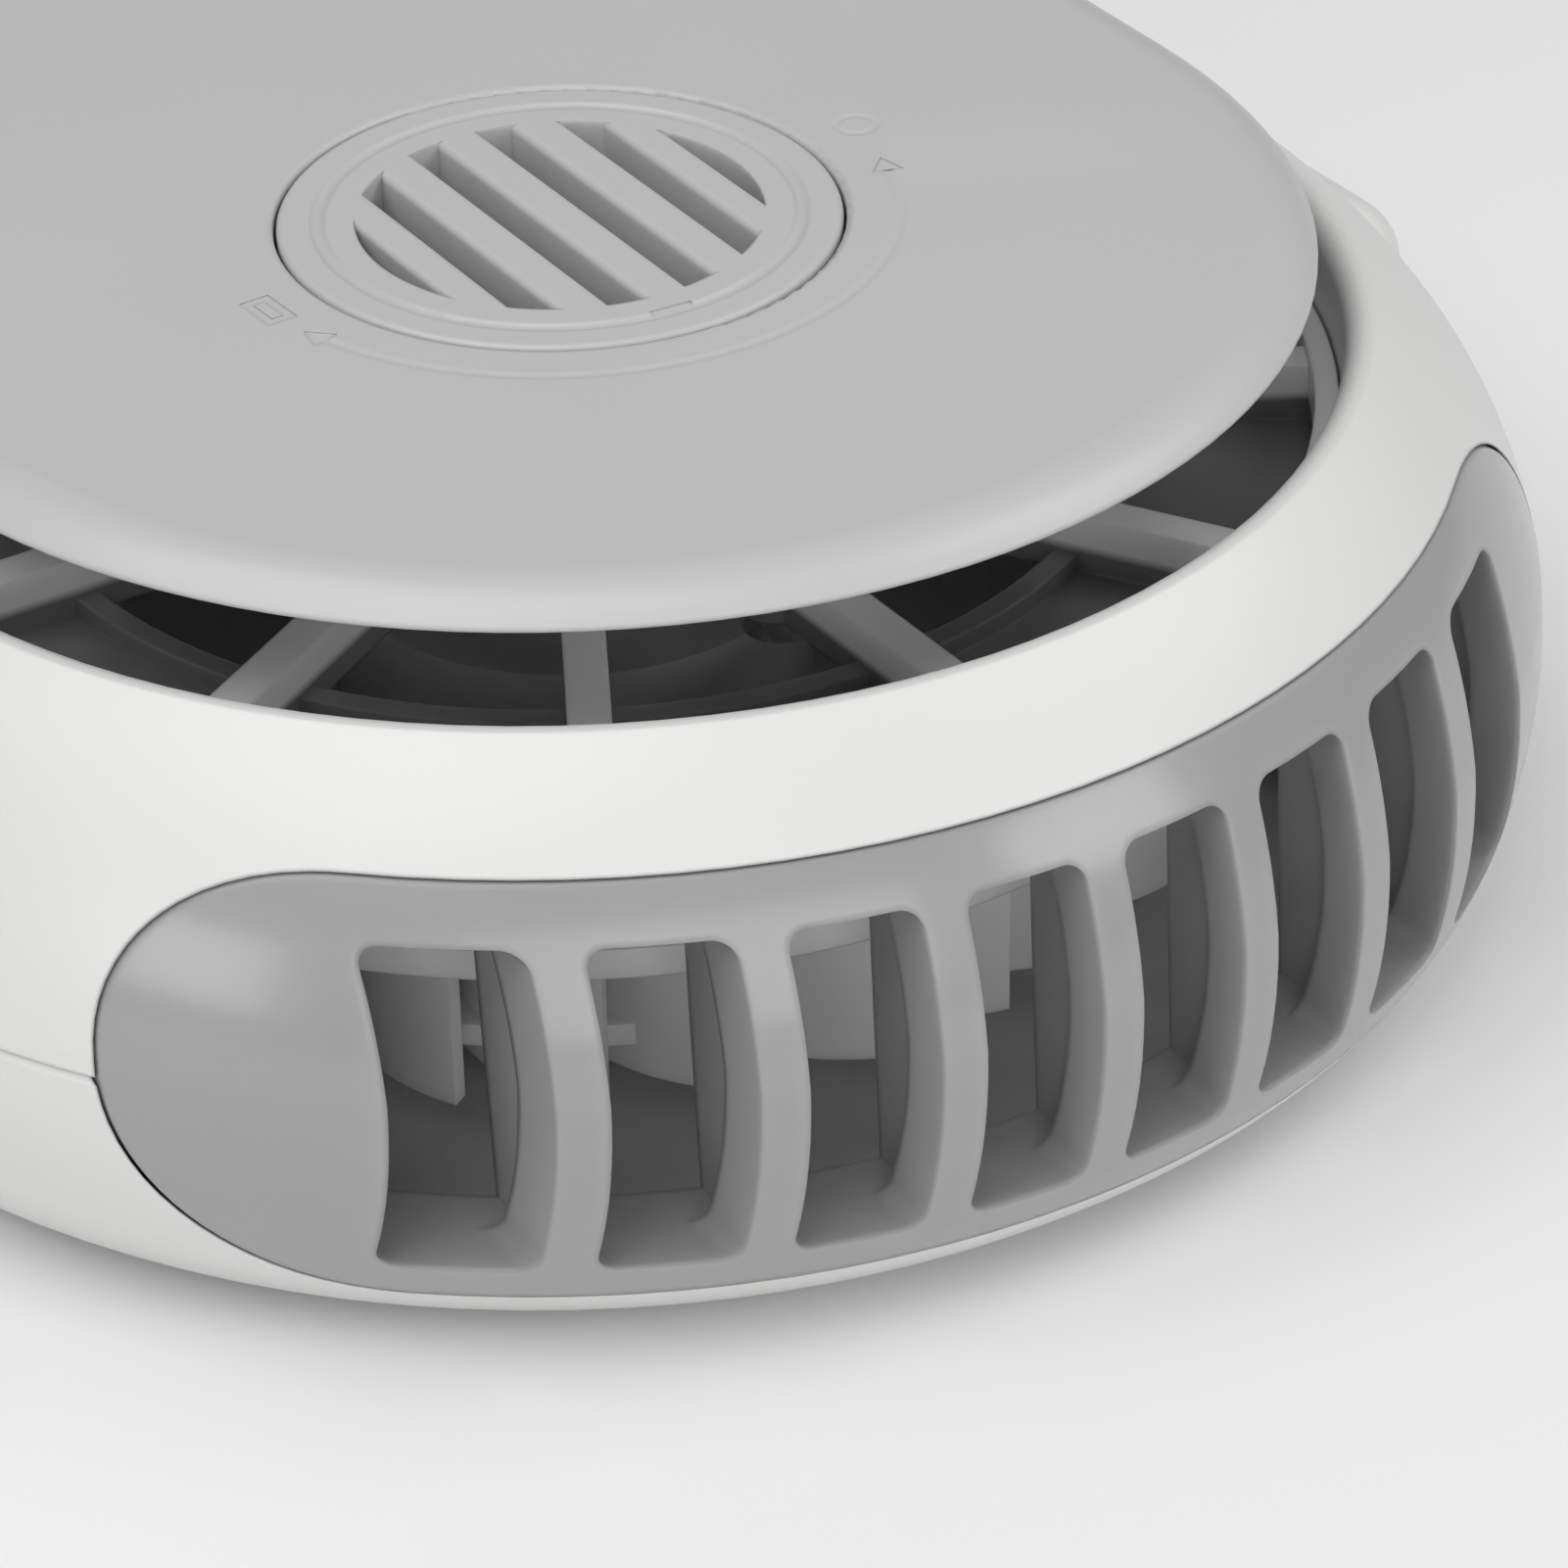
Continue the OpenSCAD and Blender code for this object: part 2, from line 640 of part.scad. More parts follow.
module intake_frame() color([0.68, 0.69, 0.70]) {
  at_cap() difference() {
    union() {
      tube(ring_r, ring_r - ring_t, plate_z, spoke_top + ring_rise - plate_z);
      tube(ring_r, eye_r, plate_z, plate_t);
      tube(eye_r + eye_lip_t, eye_r, plate_z, plate_t + eye_lip_h);
      for (k = [0 : spoke_count - 1]) rotate([0, 0, ear_turn + k * full_turn / spoke_count])
        translate([(hub_r + hub_in_r) / 2, -spoke_w / 2, spoke_bottom - fit])
          cube([ring_r - ring_t / 2 - (hub_r + hub_in_r) / 2, spoke_w, spoke_h + fit]);
      tube(hub_r, hub_in_r, spoke_bottom, cover_z - hub_gap - spoke_bottom);
      translate([0, 0, spoke_bottom]) cylinder(r = hub_r, h = hub_floor_t);
      difference() {
        tube(hub_in_r + fit, sleeve_r + ledge_gap + fit, track_z, track_ledge_t);
        for (k = [0, 1]) sector(sleeve_r - over, hub_in_r + over, track_z - over, track_ledge_t + 2 * over,
          k * half_turn + cap_turn - entry_half_angle, k * half_turn + cap_turn + entry_half_angle);
      }
      for (k = [0, 1]) rotate([0, 0, quarter_turn + k * half_turn])
        translate([sleeve_r + ledge_gap + 3 * fit, -stop_w / 2, spoke_bottom + hub_floor_t - fit])
        cube([(hub_r + hub_in_r) / 2 - sleeve_r - ledge_gap, stop_w,
          track_z - spoke_bottom - hub_floor_t + 3 * fit]);
      for (k = [0 : 2]) rotate([0, 0, k * ear_step + ear_turn]) translate([hub_ear_r, 0, spoke_bottom])
        cylinder(r = ear_r, h = spoke_h);
    }
    for (k = [0 : 2]) rotate([0, 0, k * ear_step + ear_turn]) translate([hub_ear_r, 0, spoke_bottom - over])
      cylinder(r = screw_free_r, h = spoke_h + 2 * over);
    for (k = [0 : hub_hole_count - 1]) rotate([0, 0, k * full_turn / hub_hole_count])
      translate([hub_hole_ring, 0, spoke_bottom - over])
      cylinder(r = hub_hole_r, h = hub_floor_t + 2 * over);
  }
}

groove_inset = 1.65;
groove_w = 0.75;
groove_mid = cap_r - groove_inset - groove_w / 2;
groove_depth = 0.17;
slot_field_inset = 3.85;
slot_field_r = cap_r - slot_field_inset;
end_slot_inset = 5;
end_slot_in = cap_r - end_slot_inset;
index_w = 2.2;
index_h = 0.6;
index_depth = 0.12;
bar_edge = 0.35;
// Bar of the cap from x0 to x1, with its two top edges rounded
module cap_bar(x0, x1) {
  translate([0, cap_r, 0]) rotate([quarter_turn, 0, 0]) linear_extrude(height = 2 * cap_r) {
    translate([x0, cap_z - 2 * over]) square([x1 - x0, cap_t + 2 * over - bar_edge]);
    translate([x0 + bar_edge, cap_z]) square([x1 - x0 - 2 * bar_edge, cap_t + 2 * over]);
    for (x = [x0 + bar_edge, x1 - bar_edge]) translate([x, top_z - bar_edge]) circle(r = bar_edge);
  }
}
module vent_cap() color([0.74, 0.74, 0.75]) {
  at_cap() difference() {
    union() {
      rotate_extrude() {
        translate([0, cap_z]) square([cap_r - cap_edge, cap_t]);
        translate([0, cap_z]) square([cap_r, cap_t - cap_edge]);
        translate([cap_r - cap_edge, top_z - cap_edge]) circle(r = cap_edge);
      }
      tube(sleeve_r, sleeve_r - sleeve_t, cap_z - sleeve_h, sleeve_h + fit);
      for (k = [0, 1]) sector(sleeve_r - sleeve_t / 2, lug_out_r, track_z - ledge_gap - lug_part_h,
        lug_part_h,
        k * half_turn - lug_half_angle, k * half_turn + lug_half_angle);
    }
    rotate_extrude() translate([groove_mid, 0]) dish(groove_w, groove_depth);
    rotate([0, 0, -mark_turn]) translate([-index_w / 2, -groove_mid, top_z - index_depth])
      cube([index_w, index_h, index_depth + over]);
    difference() {
      translate([0, 0, cap_z - over]) cylinder(r = slot_field_r, h = cap_t + 2 * over);
      for (k = [-1, 0, 1])
        cap_bar(k * cap_pitch - (cap_pitch - cap_slot_w) / 2, k * cap_pitch + (cap_pitch - cap_slot_w) / 2);
      for (s = [0, 1]) mirror([s, 0, 0]) cap_bar(cap_pitch * 3 / 2 + cap_slot_w / 2, end_slot_in);
    }
  }
}

pad_gap = 0.3;
pad_r = sleeve_r - sleeve_t - pad_gap;
pad_h = 3.5;
module scent_pad() color([0.86, 0.84, 0.78]) {
  at_cap() translate([0, 0, spoke_bottom + hub_floor_t + fit]) cylinder(r = pad_r, h = pad_h);
}

// Scroll: quarter arcs whose centres sit on a small square
scroll_step = 1.03;
tongue_gap = 1.2;
scroll_t = 1.2;
scroll_r0 = impeller_r + tongue_gap;
scroll_top = slot_z + slot_h / 2 - seat;
tongue_angle = 40;
tongue_cut = 2;
scroll_end = tongue_angle + 0.7;
notch_w = 6;
notch_h = 2.2;
module scroll_area(grow, start, stop) {
  h = scroll_step / 2;
  intersection() {
    translate([h, h]) circle(r = scroll_r0 + grow);
    polygon([[h, h], [2 * body_r, h], [2 * body_r * cos(start), -2 * body_r * sin(start)]]);
  }
  intersection() { translate([-h, h]) circle(r = scroll_r0 + scroll_step + grow); translate([-h, h])
    square(2 * body_r); }
  intersection() { translate([-h, -h])
    circle(r = scroll_r0 + 2 * scroll_step + grow); translate([-h - 2 * body_r, -h]) square(2 * body_r); }
  intersection() {
    translate([h, -h]) circle(r = scroll_r0 + 3 * scroll_step + grow);
    polygon([[h, -h], [-2 * body_r, -h], [-2 * body_r * cos(stop), -2 * body_r * sin(stop)]]);
  }
  square([scroll_r0, scroll_r0], center = true);
}
module scroll_liner() color([0.90, 0.90, 0.89]) {
  deck_h = scroll_top - plate_z + ledge_t + fit + over;
  at_cap() intersection() {
    rotate_extrude() body_half(wall + seat);
    difference() {
      union() {
        translate([0, 0, floor_z]) linear_extrude(height = plate_z - ledge_t - fit - floor_z) difference() {
          scroll_area(scroll_t, scroll_end, scroll_end);
          scroll_area(0, tongue_angle + tongue_cut, tongue_angle + tongue_cut);
          circle(r = impeller_r + tongue_gap / 2);
        }
        translate([0, 0, plate_z - ledge_t - fit - over]) linear_extrude(height = deck_h) difference() {
          scroll_area(scroll_t, scroll_end, scroll_end);
          scroll_area(0, tongue_angle + tongue_cut, tongue_angle + tongue_cut);
          circle(r = throat_r + throat_wall + seat);
        }
        translate([0, 0, scroll_top - scroll_t]) linear_extrude(height = scroll_t) difference() {
          union() {
            scroll_area(scroll_t - seat, scroll_end, scroll_end);
            intersection() {
              circle(r = vane_top_r - seat);
              polygon([[0, 0], [2 * body_r * cos(tongue_angle), -2 * body_r * sin(tongue_angle)],
                [0, -3 * body_r],
                [-2 * body_r * cos(tongue_angle), -2 * body_r * sin(tongue_angle)]]);
            }
          }
          circle(r = throat_r + throat_wall + seat);
        }
        rotate([0, 0, -tongue_angle]) translate([scroll_r0 + scroll_t / 2, -scroll_t / 2, floor_z - seat])
          cube([vane_top_r - 4 * seat - scroll_r0 - scroll_t / 2, scroll_t, plate_z - ledge_t - floor_z]);
        rotate([0, 0, -tongue_angle]) translate([throat_r + throat_wall + 3 * seat, -scroll_t / 2,
          plate_z - ledge_t - fit - over])
          cube([vane_top_r - 7 * seat - throat_r - throat_wall, scroll_t, deck_h - scroll_t / 2]);
      }
      translate([-notch_w / 2, 0, floor_z - over]) cube([notch_w, body_r, over + notch_h]);
    }
  }
}

// Impeller: hub cup over the rotor can, back disc, blades, conical shroud
disc_step = 3;
disc_r = blade_in_r + disc_step;
disc_lift = 1.6;
disc_t = 1.2;
blade_gap = 2.8;
blade_z = floor_z + blade_gap;
disc_z = blade_z + disc_lift;
hub_wall = 1.4;
can_lift = 1.4;
can_z = base_z + base_t + can_lift;
hub_top = can_z + can_h + hub_wall;
shroud_t = 1.6;
eye_gap = 0.8;
shroud_fall = 4.4;
shroud_eye_top = plate_z - eye_gap;
shroud_rim_top = shroud_eye_top - shroud_fall;
blade_arc_r = 11;
blade_lean = 50;
module blade_ring() {
  for (k = [0 : blade_count - 1]) rotate([0, 0, k * full_turn / blade_count])
    translate([blade_in_r + blade_t - blade_arc_r * cos(blade_lean), blade_arc_r * sin(blade_lean),
      blade_z])
      difference() {
        cylinder(r = blade_arc_r, h = shroud_eye_top - blade_z);
        translate([0, 0, -over]) cylinder(r = blade_arc_r - blade_t,
          h = shroud_eye_top - blade_z + 2 * over);
        rotate([0, 0, -blade_lean + blade_sweep]) translate([-2 * blade_arc_r, 0, -over])
          cube([4 * blade_arc_r, 2 * blade_arc_r, 2 * shroud_eye_top]);
        rotate([0, 0, half_turn - blade_lean]) translate([-2 * blade_arc_r, 0, -over])
          cube([4 * blade_arc_r, 2 * blade_arc_r, 2 * shroud_eye_top]);
      }
}
blade_sweep = 46;
module impeller() color([0.80, 0.82, 0.84]) {
  at_cap() union() {
    intersection() {
      blade_ring();
      rotate_extrude() polygon([[blade_in_r, blade_z], [impeller_r - fit, blade_z],
        [impeller_r - fit, shroud_rim_top - shroud_t / 2], [blade_in_r, shroud_eye_top - shroud_t / 2]]);
    }
    rotate_extrude() polygon([[blade_in_r, shroud_eye_top - shroud_t],
      [impeller_r, shroud_rim_top - shroud_t],
      [impeller_r, shroud_rim_top], [blade_in_r, shroud_eye_top]]);
    tube(disc_r, can_r + press, disc_z, disc_t);
    tube(can_r + press + hub_wall, can_r + press, disc_z, hub_top - disc_z);
    tube(can_r + hub_wall, shaft_r + press, can_z + can_h + press, hub_top - can_z - can_h - press);
  }
}

can_t = 0.7;
can_top_t = 1;
can_boss_r = 3;
magnet_t = 1.2;
magnet_h = 6;
magnet_inset = 0.4;
shaft_bottom = 0.9;
shaft_z = base_z - shaft_bottom;
module rotor_can() color([0.62, 0.63, 0.65]) {
  at_cap() {
    difference() {
      translate([0, 0, can_z]) cylinder(r = can_r, h = can_h);
      translate([0, 0, can_z - over]) cylinder(r = can_r - can_t, h = can_h - can_top_t + over);
      translate([0, 0, can_z]) cylinder(r = shaft_r + press, h = can_h + over);
    }
  }
}
module rotor_magnet() color([0.22, 0.22, 0.24]) {
  at_cap() tube(can_r - can_t - press, can_r - can_t - magnet_t, can_z + magnet_inset, magnet_h);
}
clip_groove_d = 0.3;
clip_t = 0.4;
clip_z = shaft_z + 0.3 * shaft_r;
clip_r = 1.9;
clip_slot_share = 0.7;
module motor_shaft() color([0.78, 0.78, 0.80]) {
  at_cap() difference() {
    translate([0, 0, shaft_z]) cylinder(r = shaft_r, h = hub_top - shaft_z - fit);
    tube(2 * shaft_r, shaft_r - clip_groove_d, clip_z - fit, clip_t + 2 * fit);
  }
}
module shaft_clip() color([0.45, 0.46, 0.48]) {
  at_cap() difference() {
    tube(clip_r, shaft_r - clip_groove_d + fit, clip_z, clip_t);
    translate([0, -(shaft_r - clip_groove_d + fit) * clip_slot_share, clip_z - over])
      cube([2 * clip_r, 2 * (shaft_r - clip_groove_d + fit) * clip_slot_share, clip_t + 2 * over]);
  }
}
bearing_r = 2.5;
bearing_h = 2;
bearing_fit = 0.02;
bearing_low = 0.3;
tube_r = 3.4;
tube_top_gap = 0.8;
tube_top = can_z + can_h - can_top_t - tube_top_gap;
module bearings() color([0.70, 0.70, 0.72]) {
  at_cap() for (z = [base_z + bearing_low, tube_top - bearing_low - bearing_h])
    tube(bearing_r, shaft_r + bearing_fit, z, bearing_h);
}
clip_well_r = 2.2;
module motor_base() color([0.52, 0.53, 0.55]) {
  at_cap() difference() {
    union() {
      translate([0, 0, base_z + seat / 2]) cylinder(r = base_r, h = base_t - seat / 2);
      translate([0, 0, base_z + seat / 2]) cylinder(r = tube_r, h = tube_top - base_z - seat / 2);
    }
    translate([0, 0, base_z + bearing_low - fit / 2]) cylinder(r = bearing_r + press, h = tube_top);
    translate([0, 0, base_z - over]) cylinder(r = clip_well_r, h = tube_top);
    for (k = [0 : 2]) rotate([0, 0, base_ear_turn + k * base_ear_step])
      translate([base_screw_r, 0, base_z - over]) {
      cylinder(r = screw_free_r, h = base_t + 2 * over);
      translate([0, 0, over + base_t - motor_head_h])
        cylinder(r = motor_head_r + 2 * fit, h = over + motor_head_h);
    }
  }
}
motor_head_r = 1.7;
motor_head_h = 0.8;
module motor_screws() color([0.35, 0.35, 0.37]) {
  at_cap() for (k = [0 : 2]) rotate([0, 0, base_ear_turn + k * base_ear_step])
    translate([base_screw_r, 0, 0]) difference() {
    union() {
      translate([0, 0, base_z + base_t - motor_head_h]) cylinder(r = motor_head_r, h = motor_head_h - fit);
      translate([0, 0, base_z - base_screw_len + seat])
        cylinder(r = screw_shank_r - 2 * fit + press,
        h = base_screw_len + base_t - motor_head_h - seat + fit);
    }
    translate([0, 0, base_z + base_t - motor_head_h / 2]) cylinder(r = drive_r, h = over, $fn = 6);
  }
}
pole_count = 6;
core_r = 8.5;
core_ring_r = 4.6;
core_z = can_z + 1.6 * shaft_r;
core_h = 4;
pole_w = 2;
shoe_t = 1;
shoe_half = 22;
module stator_core() color([0.40, 0.41, 0.44]) {
  at_cap() union() {
    tube(core_ring_r, tube_r + press, core_z, core_h);
    for (k = [0 : pole_count - 1]) rotate([0, 0, k * full_turn / pole_count]) {
      translate([core_ring_r - fit, -pole_w / 2, core_z])
        cube([core_r - core_ring_r - shoe_t / 2, pole_w, core_h]);
      sector(core_r - shoe_t, core_r, core_z, core_h, -shoe_half, shoe_half);
    }
  }
}
coil_t = 0.7;
coil_gap = 0.06;
coil_len_inset = 0.3;
module stator_coils() color([0.72, 0.42, 0.20]) {
  at_cap() for (k = [0 : pole_count - 1]) rotate([0, 0, k * full_turn / pole_count]) {
    x0 = core_ring_r + coil_len_inset;
    w_in = pole_w + 2 * coil_gap;
    shoe_in = core_r - shoe_t;
    corner = w_in / 2 + coil_t;
    x1 = sqrt(shoe_in * shoe_in - corner * corner) - coil_gap;
    h_in = core_h + 2 * coil_gap;
    difference() {
      translate([x0, -w_in / 2 - coil_t, core_z - coil_gap - coil_t])
        cube([x1 - x0, w_in + 2 * coil_t, h_in + 2 * coil_t]);
      translate([x0 - over, -w_in / 2, core_z - coil_gap]) cube([x1 - x0 + 2 * over, w_in, h_in]);
    }
  }
}

cell_cap_r = 3;
cell_cap_h = 0.6;
module battery_cell() color([0.20, 0.42, 0.62]) {
  translate([-cell_len / 2, cell_y, cell_z]) rotate([0, quarter_turn, 0])
    cylinder(r = cell_r, h = cell_len);
}
tab_t = 0.3;
tab_w = 6;
tab_up = 2;
module battery_tabs() color([0.75, 0.75, 0.74]) {
  both() translate([cell_len / 2 + press, cell_y - tab_w / 2, cell_z - tab_w / 2])
    cube([tab_t, tab_w, tab_w + tab_up]);
}
pad_len = 8;
module battery_pads() color([0.25, 0.25, 0.25]) {
  both() translate([cradle_x / 2 - pad_len / 2, cell_y - pad_len / 4, floor_z + fit / 2])
    cube([pad_len, pad_len / 2, cell_lift - 4 * fit / 2 - fit]);
}

// Straight run of round wire between two points, and a wire through several
module wire_run(a, b, r) {
  d = b - a;
  len = norm(d);
  translate(a) rotate([0, acos(d[2] / len), atan2(d[1], d[0])]) cylinder(r = r, h = len);
}
module wire(pts, r) {
  for (k = [1 : len(pts) - 1]) wire_run(pts[k - 1], pts[k], r);
  for (k = [1 : len(pts) - 1]) if (k < len(pts) - 1) translate(pts[k]) sphere(r = r);
}
lead_r = 0.55;
lead_off = 0.9;
lead_z = board_z + board_t / 2;
lead_end_gap = 0.02;
module battery_leads() color([0.75, 0.12, 0.10]) {
  both() wire([[cell_len / 2 + press + tab_t + lead_r + lead_end_gap, cell_y, cell_z + tab_up],
    [cell_len / 2 + press + tab_t + lead_r + lead_end_gap, cell_y, lead_z],
    [board_half_w + lead_end_gap, cell_y, lead_z]], lead_r);
}
motor_lead_r = 0.45;
motor_lead_pitch = 1.5;
motor_lead_start = 9.5;
motor_lead_z = floor_z + motor_lead_r + fit;
motor_lead_rise_y = cell_y - cell_r - 3 * shaft_r;
motor_lead_in = 1.2;
module motor_leads() color([0.15, 0.15, 0.16]) {
  for (k = [-1, 0, 1]) wire([[k * motor_lead_pitch, cap_y + motor_lead_start, motor_lead_z],
    [k * motor_lead_pitch, motor_lead_rise_y, motor_lead_z],
    [k * motor_lead_pitch, motor_lead_rise_y, board_z - motor_lead_r - lead_end_gap],
    [k * motor_lead_pitch, far_y + board_near + motor_lead_in,
      board_z - motor_lead_r - lead_end_gap]], motor_lead_r);
}

module circuit_board() color([0.10, 0.36, 0.22]) {
  difference() {
    intersection() {
      translate([-board_half_w, far_y + board_near, board_z]) cube([2 * board_half_w, body_r, board_t]);
      translate([0, far_y, board_z - over]) cylinder(r = board_end_r, h = board_t + 2 * over);
    }
    both() for (p = post_spots) translate([p[0], p[1], board_z - over])
      cylinder(r = screw_free_r, h = board_t + 2 * over);
  }
}
chip_w = 5;
chip_h = 1;
chip_y_back = 15;
module board_chips() color([0.12, 0.12, 0.13]) {
  both() translate([chip_w, leds_y + chip_w, board_top + press]) cube([chip_w, chip_w, chip_h]);
}
led_w = 1.6;
led_d = 0.8;
led_h = 0.6;
module indicator_leds() color([0.95, 0.95, 0.80]) {
  for (x = led_spots) translate([x - led_w / 2, leds_y - led_d / 2, board_top + press])
    cube([led_w, led_d, led_h]);
}
guide_bar_t = 1.4;
guide_bar_w = 3;
module light_guide() color([0.90, 0.92, 0.95]) {
  union() {
    for (x = led_spots) translate([x, leds_y, board_top + led_h + 2 * fit])
      cylinder(r = guide_r, h = top_z - board_top - led_h - 2 * fit);
    translate([led_spots[0] - guide_bar_w / 2, leds_y - guide_bar_w / 2, deck_top + fit])
      cube([led_spots[3] - led_spots[0] + guide_bar_w, guide_bar_w, guide_bar_t]);
  }
}
module tact_switch() color([0.30, 0.30, 0.32]) {
  difference() {
    translate([-switch_w / 2, button_y - switch_w / 2, board_top + press])
      cube([switch_w, switch_w, switch_h - press]);
    translate([0, button_y, board_top + button_travel]) cylinder(r = plunger_r + fit, h = switch_h);
  }
}
module switch_plunger() color([0.12, 0.12, 0.12]) {
  translate([0, button_y, board_top + 2 * button_travel + fit])
    cylinder(r = plunger_r, h = switch_h + plunger_h - 2 * button_travel - fit);
}
module power_button() color([0.85, 0.85, 0.86]) {
  translate([0, button_y, 0]) union() {
    translate([0, 0, cover_z - seat - button_flange_t])
      cylinder(r = button_r, h = top_z + button_proud - cover_z + seat + button_flange_t);
    translate([0, 0, cover_z - seat - button_flange_t])
      cylinder(r = button_r + button_flange, h = button_flange_t);
    translate([0, 0, plunger_top + press])
      cylinder(r = stem_r, h = cover_z - seat - button_flange_t - plunger_top);
  }
}
tongue_w = 6;
tongue_t = 0.7;
tongue_len = 5.5;
module usb_socket() color([0.72, 0.73, 0.75]) {
  translate([0, usb_mouth_y, usb_mid_z - press]) rotate([quarter_turn, 0, 0]) difference() {
    linear_extrude(height = usb_len) usb_outline(0);
    difference() {
      translate([0, 0, -over]) linear_extrude(height = usb_len - usb_wall + over) usb_outline(-usb_wall);
      translate([-tongue_w / 2, -tongue_t / 2, usb_len - usb_wall - tongue_len])
        cube([tongue_w, tongue_t, tongue_len + usb_wall]);
    }
  }
}

board_screw_len = 3.6;
board_head_h = 0.8;
module board_screws() color([0.35, 0.35, 0.37]) {
  both() for (p = post_spots) translate([p[0], p[1], board_z - press]) screw(board_screw_len, board_head_h);
}
module cover_screws() color([0.35, 0.35, 0.37]) {
  at_cap() for (k = [0 : 2]) rotate([0, 0, k * ear_step + ear_turn])
    translate([hub_ear_r, 0, spoke_bottom - fit - press])
      screw(spoke_h + cover_screw_len - seat, screw_head_h);
  both() for (p = cover_spots) translate([p[0], far_y + p[1], deck_z - press])
    screw(cover_screw_len, screw_head_h);
}
module shell_screws() color([0.35, 0.35, 0.37]) {
  both() for (p = shell_spots) translate([p[0], p[1], shell_head_z - press])
    screw(shell_screw_len, screw_head_h);
}
module lanyard_lugs() color([0.95, 0.95, 0.94]) {
  both() lug_frame() difference() {
    intersection() {
      lug_capsule(0);
      translate([-wall - lug_back, -lug_len, -lug_len]) cube([2 * lug_len, 2 * lug_len, 2 * lug_len]);
    }
    translate([-lug_eye_depth, 0, -lug_len]) cylinder(r = lug_eye_r, h = 2 * lug_len);
  }
}

rear_shell();
front_shell();
outlet_grille();
front_cover();
intake_frame();
vent_cap();
scent_pad();
scroll_liner();
impeller();
rotor_can();
rotor_magnet();
motor_shaft();
shaft_clip();
bearings();
stator_core();
stator_coils();
motor_base();
motor_screws();
battery_cell();
battery_tabs();
battery_pads();
battery_leads();
motor_leads();
circuit_board();
board_chips();
indicator_leds();
light_guide();
tact_switch();
switch_plunger();
power_button();
usb_socket();
board_screws();
cover_screws();
shell_screws();
lanyard_lugs();
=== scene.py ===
"""Pendant neck fan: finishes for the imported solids, and the finer pieces that go over them."""

import math

import bmesh
import bpy
from mathutils import Matrix, Vector
from mathutils import noise as lumps


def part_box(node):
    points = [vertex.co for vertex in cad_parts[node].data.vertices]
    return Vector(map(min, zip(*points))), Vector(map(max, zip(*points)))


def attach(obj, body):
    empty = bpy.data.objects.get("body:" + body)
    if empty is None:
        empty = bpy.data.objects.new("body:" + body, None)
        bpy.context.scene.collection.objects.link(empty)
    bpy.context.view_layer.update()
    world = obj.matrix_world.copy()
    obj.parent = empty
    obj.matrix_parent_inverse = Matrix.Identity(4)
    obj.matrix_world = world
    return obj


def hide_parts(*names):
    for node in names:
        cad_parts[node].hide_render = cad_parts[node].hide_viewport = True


bl_info = {
    "name": "Neck Fan Dressing",
    "version": (1, 0, 0),
    "blender": (4, 5, 0),
    "location": "3D View > Sidebar > Neck Fan",
    "description": "Dresses the packed neck fan with moulded plastics, metals, wires and a studio",
    "category": "Object",
}

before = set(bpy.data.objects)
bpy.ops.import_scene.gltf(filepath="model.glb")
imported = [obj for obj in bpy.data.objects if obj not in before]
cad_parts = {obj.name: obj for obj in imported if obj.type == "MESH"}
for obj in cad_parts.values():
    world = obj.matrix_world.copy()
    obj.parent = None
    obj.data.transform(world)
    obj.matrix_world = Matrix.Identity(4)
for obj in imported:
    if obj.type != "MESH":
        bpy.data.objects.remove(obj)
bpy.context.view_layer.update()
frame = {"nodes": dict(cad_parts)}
MM = 0.001

# Places that the finer pieces share with the solids, in metres
CAP_Y = -18 * MM
CORE_RING = 4.9 * MM
COIL_GAP = 0.06 * MM
POLE_HALF = 1.06 * MM
POLES = 6
# One turn of wire round a pole, in half widths: sides cut at the corners
WINDING = ((1, -0.88), (1, 0.88), (0.88, 1), (-0.88, 1),
           (-1, 0.88), (-1, -0.88), (-0.88, -1), (0.88, -1))
PAD_LEN = 8 * MM
MOTOR_LEAD_PITCH = 1.5 * MM
MOTOR_LEAD_TURN = 25.8 * MM
CHIP_W = 5 * MM
# Small parts of the board: place in millimetres, and whether one lies along y
SMALL_PARTS = ((-4.8, 36.2, False), (-1.6, 36.2, False), (1.6, 36.2, False), (4.8, 36.2, False),
               (-3, 45, True), (-1.5, 45, True), (0, 45, True), (1.5, 45, True), (3, 45, True),
               (-3, 47.8, True), (-1.5, 47.8, True), (1.5, 47.8, True), (3, 47.8, True),
               (-4, 53.5, False), (-1.4, 53.5, False), (1.4, 53.5, False), (4, 53.5, False),
               (-9, 31, True), (-9, 33, True), (9, 31, True), (9, 33, True))
BOARD_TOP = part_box("circuit_board")[1].z
# Size of one small part, with a soldered end at each side
PART_LEN, PART_W, PART_H = 1 * MM, 0.54 * MM, 0.36 * MM
PART_END, PART_END_H = 0.2 * MM, 0.4 * MM
# Legs of the chips: their bent outline in millimetres, out from the chip and up from the board
CHIP_LEGS = 6
LEG_PITCH, LEG_W, LEG_T = 0.75 * MM, 0.3 * MM, 0.1 * MM
LEG = ((0.02, 0.5), (0.22, 0.5), (0.36, 0.36), (0.46, 0.12), (0.58, 0.07), (0.86, 0.07))
# Heights between which the intake frame turns from dark below to its milky spokes: the dark plate round
# the inlet has its own tone, and the band is painted shade fading up the lower sides of the spokes and
# ring
FRAME_TURN = (22.85 * MM, 23.35 * MM)

